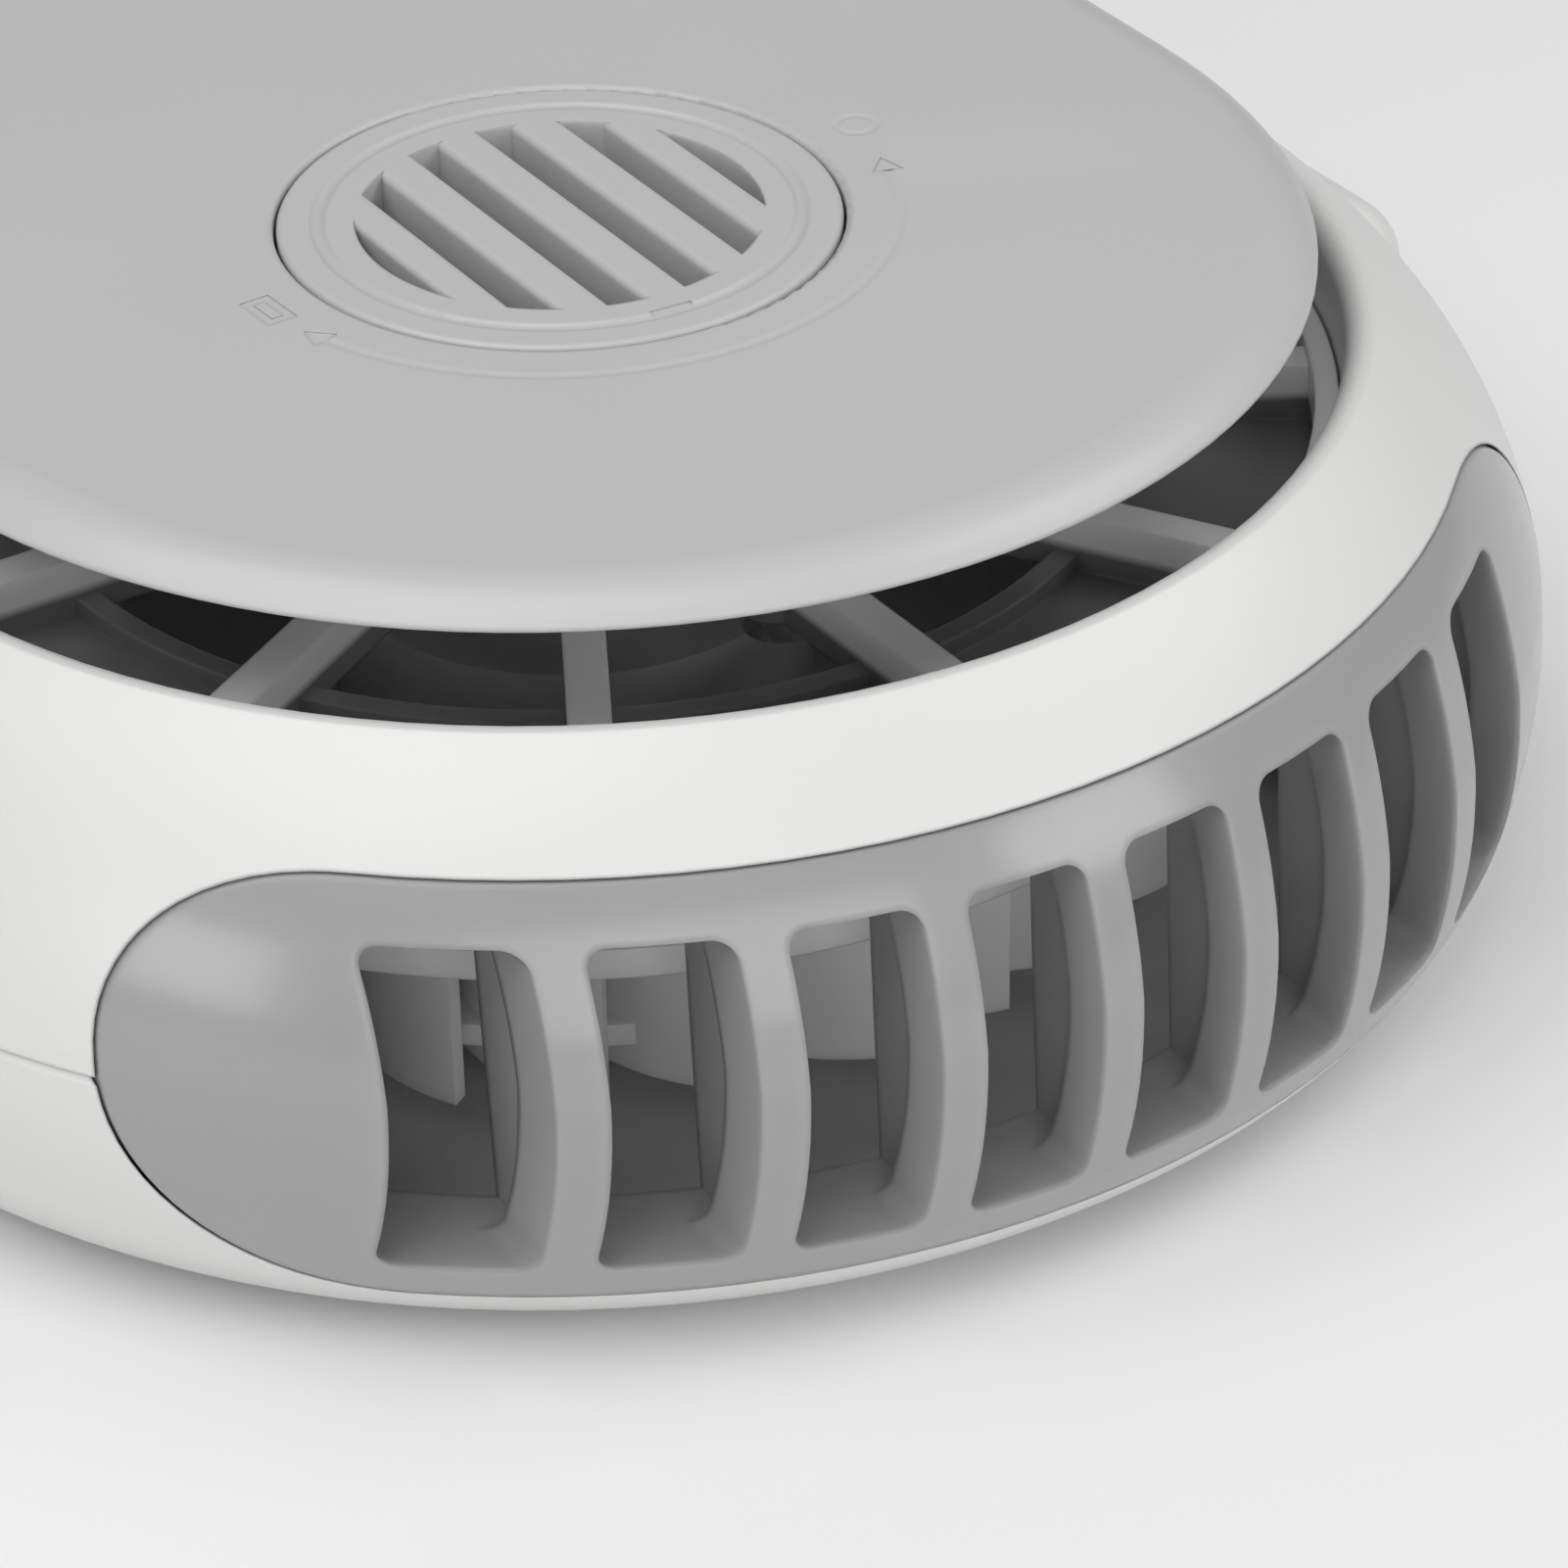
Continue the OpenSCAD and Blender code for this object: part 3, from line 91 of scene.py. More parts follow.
# Soft lights: name, place, what they aim at, size, and the setting that holds their power
LAMPS = (("key_light", (-0.3, -0.05, 0.7), (0, 0, 0.02), (0.8, 0.7), "key"),
         ("front_light", (-0.2, -0.66, 0.22), (0, -0.02, 0.02), (0.6, 0.3), "fill"),
         ("right_light", (0.4, -0.7, 0.34), (0, -0.02, 0.02), (0.3, 0.22), "right"),
         ("left_light", (-0.76, -0.26, 0.2), (0, -0.02, 0.02), (0.26, 0.22), "left"),
         ("side_light", (0.46, -0.22, 0.56), (0, -0.02, 0.02), (0.36, 0.4), "side"))
# The camera's own axes, solved from the photograph
CAMERA_RIGHT = (0.8418, -0.5396, -0.0125)
CAMERA_AHEAD = (0.4478, 0.7111, -0.5421)


# Settings
class FanColours(bpy.types.PropertyGroup):
    """Colours of the fan's plastics and of the wires inside it"""

    shell: bpy.props.FloatVectorProperty(
        name="Shell", description="Off-white plastic of the two shells", subtype="COLOR", size=3,
        min=0, max=1, default=(0.665, 0.665, 0.657))
    cover: bpy.props.FloatVectorProperty(
        name="Cover", description="Light grey plastic of the cover and cap", subtype="COLOR", size=3,
        min=0, max=1, default=(0.485, 0.485, 0.485))
    grille: bpy.props.FloatVectorProperty(
        name="Grille", description="Grey plastic of the outlet grille", subtype="COLOR", size=3,
        min=0, max=1, default=(0.315, 0.315, 0.318))
    frame: bpy.props.FloatVectorProperty(
        name="Intake frame", description="Milky grey plastic of the spokes and ring", subtype="COLOR",
        size=3, min=0, max=1, default=(0.93, 0.935, 0.94))
    # Dark tone below the spokes: partly the inlet moulding's own grey, partly painted shade on the lower
    # sides of the spokes and ring
    plate_and_painted_shade: bpy.props.FloatVectorProperty(
        name="Inlet plate", description="Dark grey of the frame's plate round the air inlet",
        subtype="COLOR", size=3, min=0, max=1, default=(0.22, 0.22, 0.223))
    wheel: bpy.props.FloatVectorProperty(
        name="Impeller", description="Milky plastic of the blower wheel", subtype="COLOR", size=3,
        min=0, max=1, default=(0.74, 0.743, 0.748))
    liner: bpy.props.FloatVectorProperty(
        name="Scroll liner", description="Plastic of the blower's scroll", subtype="COLOR", size=3,
        min=0, max=1, default=(0.86, 0.86, 0.855))
    board: bpy.props.FloatVectorProperty(
        name="Circuit board", description="Solder mask of the board", subtype="COLOR", size=3,
        min=0, max=1, default=(0.02, 0.16, 0.08))
    cell: bpy.props.FloatVectorProperty(
        name="Battery sleeve", description="Shrink sleeve round the cell", subtype="COLOR", size=3,
        min=0, max=1, default=(0.05, 0.20, 0.42))


class FanSizes(bpy.types.PropertyGroup):
    """Sizes of the details that only the dressed fan has"""

    edge: bpy.props.FloatProperty(
        name="Moulded edge", description="Rounding that light finds on a moulded edge",
        subtype="DISTANCE", unit="LENGTH", min=0, max=0.001, default=0.00025)
    grille_edge: bpy.props.FloatProperty(
        name="Grille edge", description="Rounding that light finds on the grille's soft edges",
        subtype="DISTANCE", unit="LENGTH", min=0, max=0.001, default=0.0005)
    grain: bpy.props.FloatProperty(
        name="Grain", description="Size of the fine texture on the shells",
        subtype="DISTANCE", unit="LENGTH", min=0.00005, max=0.002, default=0.00022)
    fuzz: bpy.props.FloatProperty(
        name="Felt fuzz", description="How far the felt's surface wanders",
        subtype="DISTANCE", unit="LENGTH", min=0, max=0.001, default=0.00012)
    coil_wire: bpy.props.FloatProperty(
        name="Coil wire", description="Thickness of the wire on the stator's poles",
        subtype="DISTANCE", unit="LENGTH", min=0.0001, max=0.001, default=0.00031)


class FanStudio(bpy.types.PropertyGroup):
    """Camera and light of the stage"""

    lens: bpy.props.FloatProperty(
        name="Focal length", description="Camera lens on a 36 mm sensor",
        subtype="DISTANCE_CAMERA", unit="CAMERA", min=10, max=400, default=128.77)
    eye: bpy.props.FloatVectorProperty(
        name="Camera place", description="Where the camera stands", subtype="TRANSLATION",
        unit="LENGTH", size=3, default=(-0.12304, -0.23332, 0.16074))
    floor: bpy.props.FloatVectorProperty(
        name="Floor", description="Colour of the plain floor", subtype="COLOR", size=3,
        min=0, max=1, default=(0.80, 0.80, 0.80))
    key: bpy.props.FloatProperty(
        name="Key light", description="Power of the large soft light overhead",
        subtype="POWER", unit="POWER", min=0, max=200, default=3.7)
    fill: bpy.props.FloatProperty(
        name="Front light", description="Power of the soft light on the viewer's side",
        subtype="POWER", unit="POWER", min=0, max=200, default=1.2)
    right: bpy.props.FloatProperty(
        name="Right light", description="Power of the small soft light for the grille's right half",
        subtype="POWER", unit="POWER", min=0, max=200, default=0.8)
    left: bpy.props.FloatProperty(
        name="Left light", description="Power of the low soft light on the left",
        subtype="POWER", unit="POWER", min=0, max=200, default=0.6)
    side: bpy.props.FloatProperty(
        name="Side light", description="Power of the soft light on the right",
        subtype="POWER", unit="POWER", min=0, max=200, default=1.0)
    air: bpy.props.FloatProperty(
        name="Room light", description="Strength of the even light from all round",
        min=0, max=2, default=0.32)


# Materials
def new_material(name):
    """An empty node material with its principled shader and the object coordinates."""
    mat = bpy.data.materials.new(name)
    mat.use_nodes = True
    tree = mat.node_tree
    tree.nodes.clear()
    out = tree.nodes.new("ShaderNodeOutputMaterial")
    shader = tree.nodes.new("ShaderNodeBsdfPrincipled")
    tree.links.new(shader.outputs["BSDF"], out.inputs["Surface"])
    place = tree.nodes.new("ShaderNodeTexCoord")
    return mat, tree, shader, place.outputs["Object"]


def noise(tree, vector, size, detail=3.0, rough=0.55):
    """Noise whose lumps are about size metres across."""
    node = tree.nodes.new("ShaderNodeTexNoise")
    node.inputs["Scale"].default_value = 1 / size
    node.inputs["Detail"].default_value = detail
    node.inputs["Roughness"].default_value = rough
    tree.links.new(vector, node.inputs["Vector"])
    return node.outputs["Fac"]


def spread(tree, value, low, high, start=0.3, stop=0.7):
    """Maps a noise value to low .. high."""
    node = tree.nodes.new("ShaderNodeMapRange")
    node.inputs["From Min"].default_value = start
    node.inputs["From Max"].default_value = stop
    node.inputs["To Min"].default_value = low
    node.inputs["To Max"].default_value = high
    tree.links.new(value, node.inputs["Value"])
    return node.outputs["Result"]


def tint(tree, factor, first, second):
    """Mixes two colours by a factor."""
    node = tree.nodes.new("ShaderNodeMix")
    node.data_type = "RGBA"
    node.inputs["A"].default_value = (*first, 1)
    node.inputs["B"].default_value = (*second, 1)
    tree.links.new(factor, node.inputs["Factor"])
    return node.outputs["Result"]


def relief(tree, shader, height, depth, edge=0.0):
    """Bumps the surface by a height of depth metres, over edges rounded by edge metres."""
    bump = tree.nodes.new("ShaderNodeBump")
    bump.inputs["Strength"].default_value = 1.0
    bump.inputs["Distance"].default_value = depth
    tree.links.new(height, bump.inputs["Height"])
    if edge:
        soft = tree.nodes.new("ShaderNodeBevel")
        soft.samples = 6
        soft.inputs["Radius"].default_value = edge
        tree.links.new(soft.outputs["Normal"], bump.inputs["Normal"])
    tree.links.new(bump.outputs["Normal"], shader.inputs["Normal"])


def shade(colour, factor):
    """A colour made darker or lighter by a factor."""
    return tuple(min(1.0, c * factor) for c in colour)


def moulded_plastic(name, colour, rough, grain, depth, drift=0.05, edge=0.00025, coat=0.0, milk=0.0,
                    reach=0.0016):
    """Moulded plastic: drifting tone, fine grain, handling haze, light that seeps reach metres in."""
    mat, tree, shader, place = new_material(name)
    slow = spread(tree, noise(tree, place, 0.03, 2), 0, 1)
    shader.inputs["Base Color"].default_value = (*colour, 1)
    tone = tint(tree, slow, shade(colour, 1 - drift), shade(colour, 1 + drift))
    tree.links.new(tone, shader.inputs["Base Color"])
    haze = spread(tree, noise(tree, place, 0.011, 5, 0.65), rough * 0.95, rough * 1.06)
    tree.links.new(haze, shader.inputs["Roughness"])
    shader.inputs["IOR"].default_value = 1.5
    if coat:
        shader.inputs["Coat Weight"].default_value = coat
        shader.inputs["Coat Roughness"].default_value = 0.12
    if milk:
        shader.inputs["Subsurface Weight"].default_value = milk
        shader.inputs["Subsurface Radius"].default_value = (reach, reach, reach)
        shader.inputs["Subsurface Scale"].default_value = 1.0
    relief(tree, shader, noise(tree, place, grain, 2), depth, edge)
    return mat


def wire_sleeve(name, colour):
    """Soft sleeve of a lead."""
    return moulded_plastic(name, colour, 0.4, 0.0004, 0.000008, drift=0.05, edge=0.0)


def darken_below(mat, colour, start, stop):
    """Turns a finish to another colour below a height: a dark moulding, as on a piece moulded in two
    shots, and painted shade fading up the lower sides of the parts just above it.
    """
    tree = mat.node_tree
    shader = next(node for node in tree.nodes if node.type == "BSDF_PRINCIPLED")
    above = shader.inputs["Base Color"].links[0].from_socket
    place = next(node for node in tree.nodes if node.type == "TEX_COORD").outputs["Object"]
    split = tree.nodes.new("ShaderNodeSeparateXYZ")
    tree.links.new(place, split.inputs["Vector"])
    mix = tree.nodes.new("ShaderNodeMix")
    mix.data_type = "RGBA"
    mix.inputs["A"].default_value = (*colour, 1)
    tree.links.new(above, mix.inputs["B"])
    # The blend band puts painted shade on the lower sides of whatever rises just above the turn
    tree.links.new(spread(tree, split.outputs["Z"], 0, 1, start, stop), mix.inputs["Factor"])
    tree.links.new(mix.outputs["Result"], shader.inputs["Base Color"])
    return mat


def turned_metal(name, colour, rough, lines, depth, edge=0.0001):
    """Metal with fine lines round the motor's axis."""
    mat, tree, shader, place = new_material(name)
    shift = tree.nodes.new("ShaderNodeVectorMath")
    shift.operation = "SUBTRACT"
    shift.inputs[1].default_value = (0, CAP_Y, 0)
    tree.links.new(place, shift.inputs[0])
    wave = tree.nodes.new("ShaderNodeTexWave")
    wave.wave_type = "RINGS"
    wave.rings_direction = "Z"
    wave.inputs["Scale"].default_value = 1 / lines
    wave.inputs["Distortion"].default_value = 1.2
    wave.inputs["Detail"].default_value = 2
    tree.links.new(shift.outputs[0], wave.inputs["Vector"])
    spots = spread(tree, noise(tree, place, 0.003, 4), 0, 1)
    tree.links.new(tint(tree, spots, shade(colour, 0.9), shade(colour, 1.06)), shader.inputs["Base Color"])
    shader.inputs["Metallic"].default_value = 1.0
    haze = spread(tree, noise(tree, place, 0.001, 3), rough * 0.8, rough * 1.25)
    tree.links.new(haze, shader.inputs["Roughness"])
    relief(tree, shader, wave.outputs["Fac"], depth, edge)
    return mat


def plain_metal(name, colour, rough, grain=0.0004, depth=0.000006, edge=0.00012):
    """Plated or blued metal with a slightly grained face."""
    mat, tree, shader, place = new_material(name)
    spots = spread(tree, noise(tree, place, 0.002, 4), 0, 1)
    tree.links.new(tint(tree, spots, shade(colour, 0.86), shade(colour, 1.1)), shader.inputs["Base Color"])
    shader.inputs["Metallic"].default_value = 1.0
    haze = spread(tree, noise(tree, place, 0.0012, 3), rough * 0.75, rough * 1.3)
    tree.links.new(haze, shader.inputs["Roughness"])
    relief(tree, shader, noise(tree, place, grain, 2), depth, edge)
    return mat


def felt_cloth(name, colour):
    """Pressed felt: crossing fibres at two sizes with a soft sheen."""
    mat, tree, shader, place = new_material(name)
    fibre = noise(tree, place, 0.00035, 8, 0.75)
    tone = tint(tree, spread(tree, fibre, 0, 1), shade(colour, 0.72), shade(colour, 1.08))
    tree.links.new(tone, shader.inputs["Base Color"])
    shader.inputs["Roughness"].default_value = 0.95
    shader.inputs["Sheen Weight"].default_value = 0.4
    shader.inputs["Sheen Roughness"].default_value = 0.6
    relief(tree, shader, fibre, 0.00012)
    return mat


def foam_rubber(name, colour):
    """Closed-cell foam: small open pores."""
    mat, tree, shader, place = new_material(name)
    pores = tree.nodes.new("ShaderNodeTexVoronoi")
    pores.inputs["Scale"].default_value = 1 / 0.0004
    tree.links.new(place, pores.inputs["Vector"])
    tone = tint(tree, pores.outputs["Distance"], shade(colour, 0.5), shade(colour, 1.3))
    tree.links.new(tone, shader.inputs["Base Color"])
    shader.inputs["Roughness"].default_value = 0.92
    relief(tree, shader, pores.outputs["Distance"], 0.00008)
    return mat


def board_mask(name, colour):
    """Solder mask over copper tracks that run at right angles."""
    mat, tree, shader, place = new_material(name)
    blocks = tree.nodes.new("ShaderNodeTexBrick")
    blocks.inputs["Scale"].default_value = 260
    blocks.inputs["Mortar Size"].default_value = 0.03
    blocks.inputs["Color1"].default_value = (*shade(colour, 0.85), 1)
    blocks.inputs["Color2"].default_value = (*colour, 1)
    blocks.inputs["Mortar"].default_value = (*shade(colour, 1.7), 1)
    tree.links.new(place, blocks.inputs["Vector"])
    tree.links.new(blocks.outputs["Color"], shader.inputs["Base Color"])
    tree.links.new(spread(tree, noise(tree, place, 0.004, 3), 0.22, 0.36), shader.inputs["Roughness"])
    relief(tree, shader, blocks.outputs["Fac"], 0.00003, 0.0001)
    return mat


def shrink_sleeve(name, colour):
    """Shrink sleeve on the cell: glossy, with long faint wrinkles."""
    mat, tree, shader, place = new_material(name)
    stretch = tree.nodes.new("ShaderNodeMapping")
    stretch.inputs["Scale"].default_value = (0.25, 1.6, 1.6)
    tree.links.new(place, stretch.inputs["Vector"])
    folds = noise(tree, stretch.outputs["Vector"], 0.004, 3)
    tone = tint(tree, spread(tree, folds, 0, 1), shade(colour, 0.85), shade(colour, 1.12))
    tree.links.new(tone, shader.inputs["Base Color"])
    tree.links.new(spread(tree, noise(tree, place, 0.006, 3), 0.24, 0.36), shader.inputs["Roughness"])
    relief(tree, shader, folds, 0.00008, 0.0003)
    return mat


FINISH = {}


def finishes():
    """Every finish of the fan, made once from the scene's colours."""
    if FINISH:
        return FINISH
    hue = bpy.context.scene.fan_colours
    size = bpy.context.scene.fan_sizes
    edge, grain = size.edge, size.grain
    FINISH.update({
        "shell": moulded_plastic(
            "shell_satin_white", tuple(hue.shell), 0.36, grain, 0.000010, drift=0.012, edge=edge),
        "cover": moulded_plastic(
            "cover_satin_grey", tuple(hue.cover), 0.32, grain, 0.000002, drift=0.012, edge=edge),
        "grille": moulded_plastic(
            "grille_grey", tuple(hue.grille), 0.24, grain, 0.000003, drift=0.02, edge=size.grille_edge,
            coat=0.4, milk=0.35, reach=0.003),
        # Intake frame: dark below the turn, which is the inlet moulding's tone plus painted shade fading
        # up the spokes' lower sides
        "frame": darken_below(
            moulded_plastic("frame_milky_grey", tuple(hue.frame), 0.22, grain, 0.000003, drift=0.03,
                            edge=0.00025, milk=0.4, reach=0.002),
            tuple(hue.plate_and_painted_shade), *FRAME_TURN),
        "wheel": moulded_plastic(
            "wheel_milky", tuple(hue.wheel), 0.24, grain, 0.000004, drift=0.05, edge=0.0001, milk=0.3),
        "liner": moulded_plastic(
            "liner_grey_white", tuple(hue.liner), 0.4, grain, 0.00001, drift=0.03, edge=edge),
        "can": turned_metal("can_drawn_steel", (0.56, 0.57, 0.59), 0.28, 0.0006, 0.000004),
        "shaft": turned_metal("shaft_ground_steel", (0.62, 0.62, 0.64), 0.16, 0.0002, 0.000001),
        "screw": plain_metal("screw_black_zinc", (0.10, 0.10, 0.11), 0.38),
        "nickel": plain_metal("nickel_plate", (0.66, 0.65, 0.62), 0.26),
        "lamination": turned_metal("core_lamination", (0.24, 0.25, 0.27), 0.45, 0.0004, 0.00001),
        "alloy": plain_metal("base_die_cast", (0.52, 0.53, 0.55), 0.42, 0.0003, 0.00001),
        "ferrite": moulded_plastic("magnet_ferrite", (0.05, 0.05, 0.055), 0.6, 0.0003, 0.00002),
        "copper": plain_metal("coil_enamelled_copper", (0.72, 0.30, 0.12), 0.25, 0.0003, 0.000002),
        "red": wire_sleeve("lead_red_sleeve", (0.5, 0.03, 0.02)),
        "white": wire_sleeve("lead_white_sleeve", (0.7, 0.7, 0.68)),
        "black": wire_sleeve("lead_black_sleeve", (0.025, 0.025, 0.027)),
        "chip": moulded_plastic(
            "chip_black_resin", (0.03, 0.03, 0.032), 0.5, 0.00015, 0.000006, drift=0.1, edge=0.0001),
        "lamp": moulded_plastic(
            "lamp_yellow_lens", (0.85, 0.8, 0.45), 0.25, 0.0004, 0.000002, drift=0.03, edge=0.0001,
            coat=0.3),
        "guide": moulded_plastic(
            "guide_milky_white", (0.78, 0.80, 0.82), 0.2, 0.0004, 0.000002, drift=0.02, edge=0.0001,
            coat=0.2, milk=0.5),
        "felt": felt_cloth("felt_cream", (0.62, 0.58, 0.48)),
        "foam": foam_rubber("foam_black", (0.03, 0.03, 0.03)),
        "board": board_mask("board_green_mask", tuple(hue.board)),
        "sleeve": shrink_sleeve("cell_blue_sleeve", tuple(hue.cell)),
    })
    return FINISH


# Mesh helpers
def finish_node(name, finish, angle=32):
    """Gives a carried-over solid its finish, and shades it smooth up to its sharp edges."""
    node = frame["nodes"][name]
    node.data.materials.clear()
    node.data.materials.append(finishes()[finish])
    for face in node.data.polygons:
        face.use_smooth = True
        face.material_index = 0
    node.data.set_sharp_from_angle(angle=math.radians(angle))
    return node


def link_piece(name, mesh, finish, body, replaced=()):
    """Adds a piece with its finish, its body and the solids that it stands for."""
    obj = bpy.data.objects.new(name, mesh)
    bpy.context.scene.collection.objects.link(obj)
    mesh.materials.clear()
    mesh.materials.append(finishes()[finish])
    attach(obj, body)
    if replaced:
        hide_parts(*replaced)
    return obj


def eased(points, bend):
    """Control points of a run with its corners rounded by about bend metres."""
    spots = [Vector(p) for p in points]
    path = [spots[0]]
    for before, corner, after in zip(spots, spots[1:], spots[2:]):
        for end in (before, after):
            run = end - corner
            path.append(corner + run.normalized() * min(bend, run.length / 2))
        path.insert(-1, corner)
    return path + [spots[-1]]


def wire_piece(name, paths, radius, colours, body, replaced=(), sides=3):
    """Round wires along smooth paths of points, each with its finish."""
    curve = bpy.data.curves.new(name, "CURVE")
    curve.dimensions = "3D"
    curve.bevel_depth = radius
    curve.bevel_resolution = sides
    curve.resolution_u = 4
    curve.use_fill_caps = True
    for k, path in enumerate(paths):
        line = curve.splines.new("NURBS")
        line.points.add(len(path) - 1)
        for point, spot in zip(line.points, path):
            point.co = (*spot, 1)
        line.order_u = 3
        line.use_endpoint_u = True
        line.material_index = k % len(colours)
    obj = bpy.data.objects.new(name, curve)
    bpy.context.scene.collection.objects.link(obj)
    for colour in colours:
        curve.materials.append(finishes()[colour])
    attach(obj, body)
    if replaced:
        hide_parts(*replaced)
    return obj


def round_slab(bm, low, high, rim, wander, sides=96, rings=16):
    """A round pad between two corners: soft rim, faces that wander inwards by up to wander."""
    centre = (low + high) / 2
    radius = (high.x - low.x) / 2
    half = (high.z - low.z) / 2
    outline = [((radius - rim) * k / rings, -half) for k in range(1, rings)]
    outline += [(radius - rim + rim * math.sin(a), -half + rim - rim * math.cos(a))
                for a in (math.pi / 2 * k / 4 for k in range(5))]
    outline += [(r, -z) for r, z in reversed(outline)]

    def spot(r, z, turn):
        flat = Vector((centre.x + r * math.cos(turn), centre.y + r * math.sin(turn), centre.z + z))
        lumpy = 0.5 + 0.5 * lumps.noise(flat * 900) + 0.3 * lumps.noise(flat * 2600)
        sink = wander * lumpy * (z / half)
        return flat - Vector((0, 0, max(-wander, min(wander, sink))))

    loops = [[bm.verts.new(spot(r, z, 2 * math.pi * k / sides)) for k in range(sides)] for r, z in outline]
    for lower, upper in zip(loops, loops[1:]):
        for k in range(sides):
            bm.faces.new((lower[k - 1], lower[k], upper[k], upper[k - 1]))
    for loop, z in ((loops[0], -half), (loops[-1], half)):
        middle = bm.verts.new(spot(0, z, 0))
        for k in range(sides):
            bm.faces.new((loop[k - 1], loop[k], middle))


def edges_of(verts):
    """The edges at some vertices, each once, in the order of the vertices."""
    return list(dict.fromkeys(edge for vert in verts for edge in vert.link_edges))


def soft_block(bm, low, high, rim, cuts, wander):
    """A foam block between two corners, rounded, with a face that sinks here and there."""
    before = set(bm.verts)
    rounded_block(bm, low, high, rim)
    fresh = [v for v in bm.verts if v not in before]
    bmesh.ops.subdivide_edges(bm, edges=edges_of(fresh), cuts=cuts, use_grid_fill=True)
    middle = (low + high) / 2
    for vert in (v for v in bm.verts if v not in before):
        pull = wander * (0.5 + 0.5 * lumps.noise(vert.co * 1500))
        vert.co.z += pull if vert.co.z < middle.z else -pull


def strip(bm, path, across, thick):
    """A bent metal strip: a path of points, widened by the vector across, thick in its own plane."""
    across = Vector(across)
    rows = []
    for k, spot in enumerate(path):
        spot = Vector(spot)
        along = (Vector(path[min(k + 1, len(path) - 1)]) - Vector(path[max(k - 1, 0)])).normalized()
        up = across.cross(along).normalized() * thick / 2
        corners = ((-1, -1), (1, -1), (1, 1), (-1, 1))
        rows.append([bm.verts.new(spot + a * across / 2 + b * up) for a, b in corners])
    for first, second in zip(rows, rows[1:]):
        for k in range(4):
            bm.faces.new((first[k - 1], first[k], second[k], second[k - 1]))
    bm.faces.new(rows[0])
    bm.faces.new(rows[-1])


def rounded_block(bm, low, high, edge, segments=2):
    """A block with rounded edges, added to a mesh being built."""
    size = [high[k] - low[k] for k in range(3)]
    centre = [(high[k] + low[k]) / 2 for k in range(3)]
    place = Matrix.LocRotScale(Vector(centre), None, Vector(size))
    made = bmesh.ops.create_cube(bm, size=1, matrix=place)
    bmesh.ops.bevel(bm, geom=edges_of(made["verts"]), offset=edge, segments=segments, profile=0.5,
                    affect="EDGES")


def finish_mesh(name, bm):
    """Turns a bmesh into smooth-shaded mesh data."""
    bmesh.ops.recalc_face_normals(bm, faces=bm.faces)
    mesh = bpy.data.meshes.new(name)
    bm.to_mesh(mesh)
    bm.free()
    for face in mesh.polygons:
        face.use_smooth = True
    mesh.set_sharp_from_angle(angle=math.radians(35))
    return mesh


# Operators
class DressShells(bpy.types.Operator):
    """Satin white on the two shells and the lanyard lugs"""

    bl_idname = "neckfan.dress_shells"
    bl_label = "Shells and lugs"

    def execute(self, context):
        for name in ("rear_shell", "front_shell", "lanyard_lugs"):
            finish_node(name, "shell")
        return {"FINISHED"}


class DressCover(bpy.types.Operator):
    """Grey on the cover, the twist cap and the power button"""

    bl_idname = "neckfan.dress_cover"
    bl_label = "Cover, cap and button"

    def execute(self, context):
        for name in ("front_cover", "vent_cap", "power_button"):
            finish_node(name, "cover")
        return {"FINISHED"}


class DressOutlet(bpy.types.Operator):
    """Grey on the vaned outlet, glossier than the cover"""

    bl_idname = "neckfan.dress_outlet"
    bl_label = "Outlet grille"

    def execute(self, context):
        finish_node("outlet_grille", "grille")
        return {"FINISHED"}


class DressIntake(bpy.types.Operator):
    """Milky grey on the intake frame, and felt for the scent pad"""

    bl_idname = "neckfan.dress_intake"
    bl_label = "Intake frame and scent felt"

    def execute(self, context):
        finish_node("intake_frame", "frame")
        low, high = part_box("scent_pad")
        bm = bmesh.new()
        round_slab(bm, low, high, 0.5 * MM, context.scene.fan_sizes.fuzz)
        link_piece("scent_felt", finish_mesh("scent_felt", bm), "felt", "housing", ["scent_pad"])
        return {"FINISHED"}


class DressBlower(bpy.types.Operator):
    """Plastics of the wheel and the scroll"""

    bl_idname = "neckfan.dress_blower"
    bl_label = "Wheel and scroll"

    def execute(self, context):
        finish_node("impeller", "wheel", 25)
        finish_node("scroll_liner", "liner")
        return {"FINISHED"}


def pole_windings(wire):
    """Two layers of wire round each of the stator's poles, out along it and back."""
    core_low, core_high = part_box("stator_core")
    coil_low, coil_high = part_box("stator_coils")
    start, stop = CORE_RING + wire * 0.6, coil_high.x - wire * 0.6
    turns = int((stop - start) / (wire * 1.02))
    middle = (coil_low.z + coil_high.z) / 2
    gap = (core_high.z - core_low.z) / 2 + COIL_GAP - POLE_HALF
    paths = []
    for pole in range(POLES):
        turn = Matrix.Rotation(2 * math.pi * pole / POLES, 4, "Z")
        turned = Matrix.Translation((0, CAP_Y, middle)) @ turn
        path = []
        for layer in (0, 1):
            side = POLE_HALF + wire * (0.56 + layer * 1.02)
            steps = range(turns * 8)
            for step in steps if layer == 0 else reversed(steps):
                out = start + (stop - start) * step / (turns * 8)
                y, z = WINDING[step % 8]
                path.append(turned @ Vector((out, y * side, z * side + math.copysign(gap, z))))
        paths.append(path)
    return paths


class DressMotor(bpy.types.Operator):
    """Metals and windings of the motor"""

    bl_idname = "neckfan.dress_motor"
    bl_label = "Motor"

    def execute(self, context):
        for name, finish in (("rotor_can", "can"), ("rotor_magnet", "ferrite"), ("motor_shaft", "shaft"),
                             ("shaft_clip", "screw"), ("bearings", "shaft"), ("stator_core", "lamination"),
                             ("motor_base", "alloy"), ("motor_screws", "screw")):
            finish_node(name, finish)
        wire = context.scene.fan_sizes.coil_wire
        wire_piece("stator_windings", pole_windings(wire), wire / 2, ["copper"], "housing",
                   ["stator_coils"], 1)
        return {"FINISHED"}


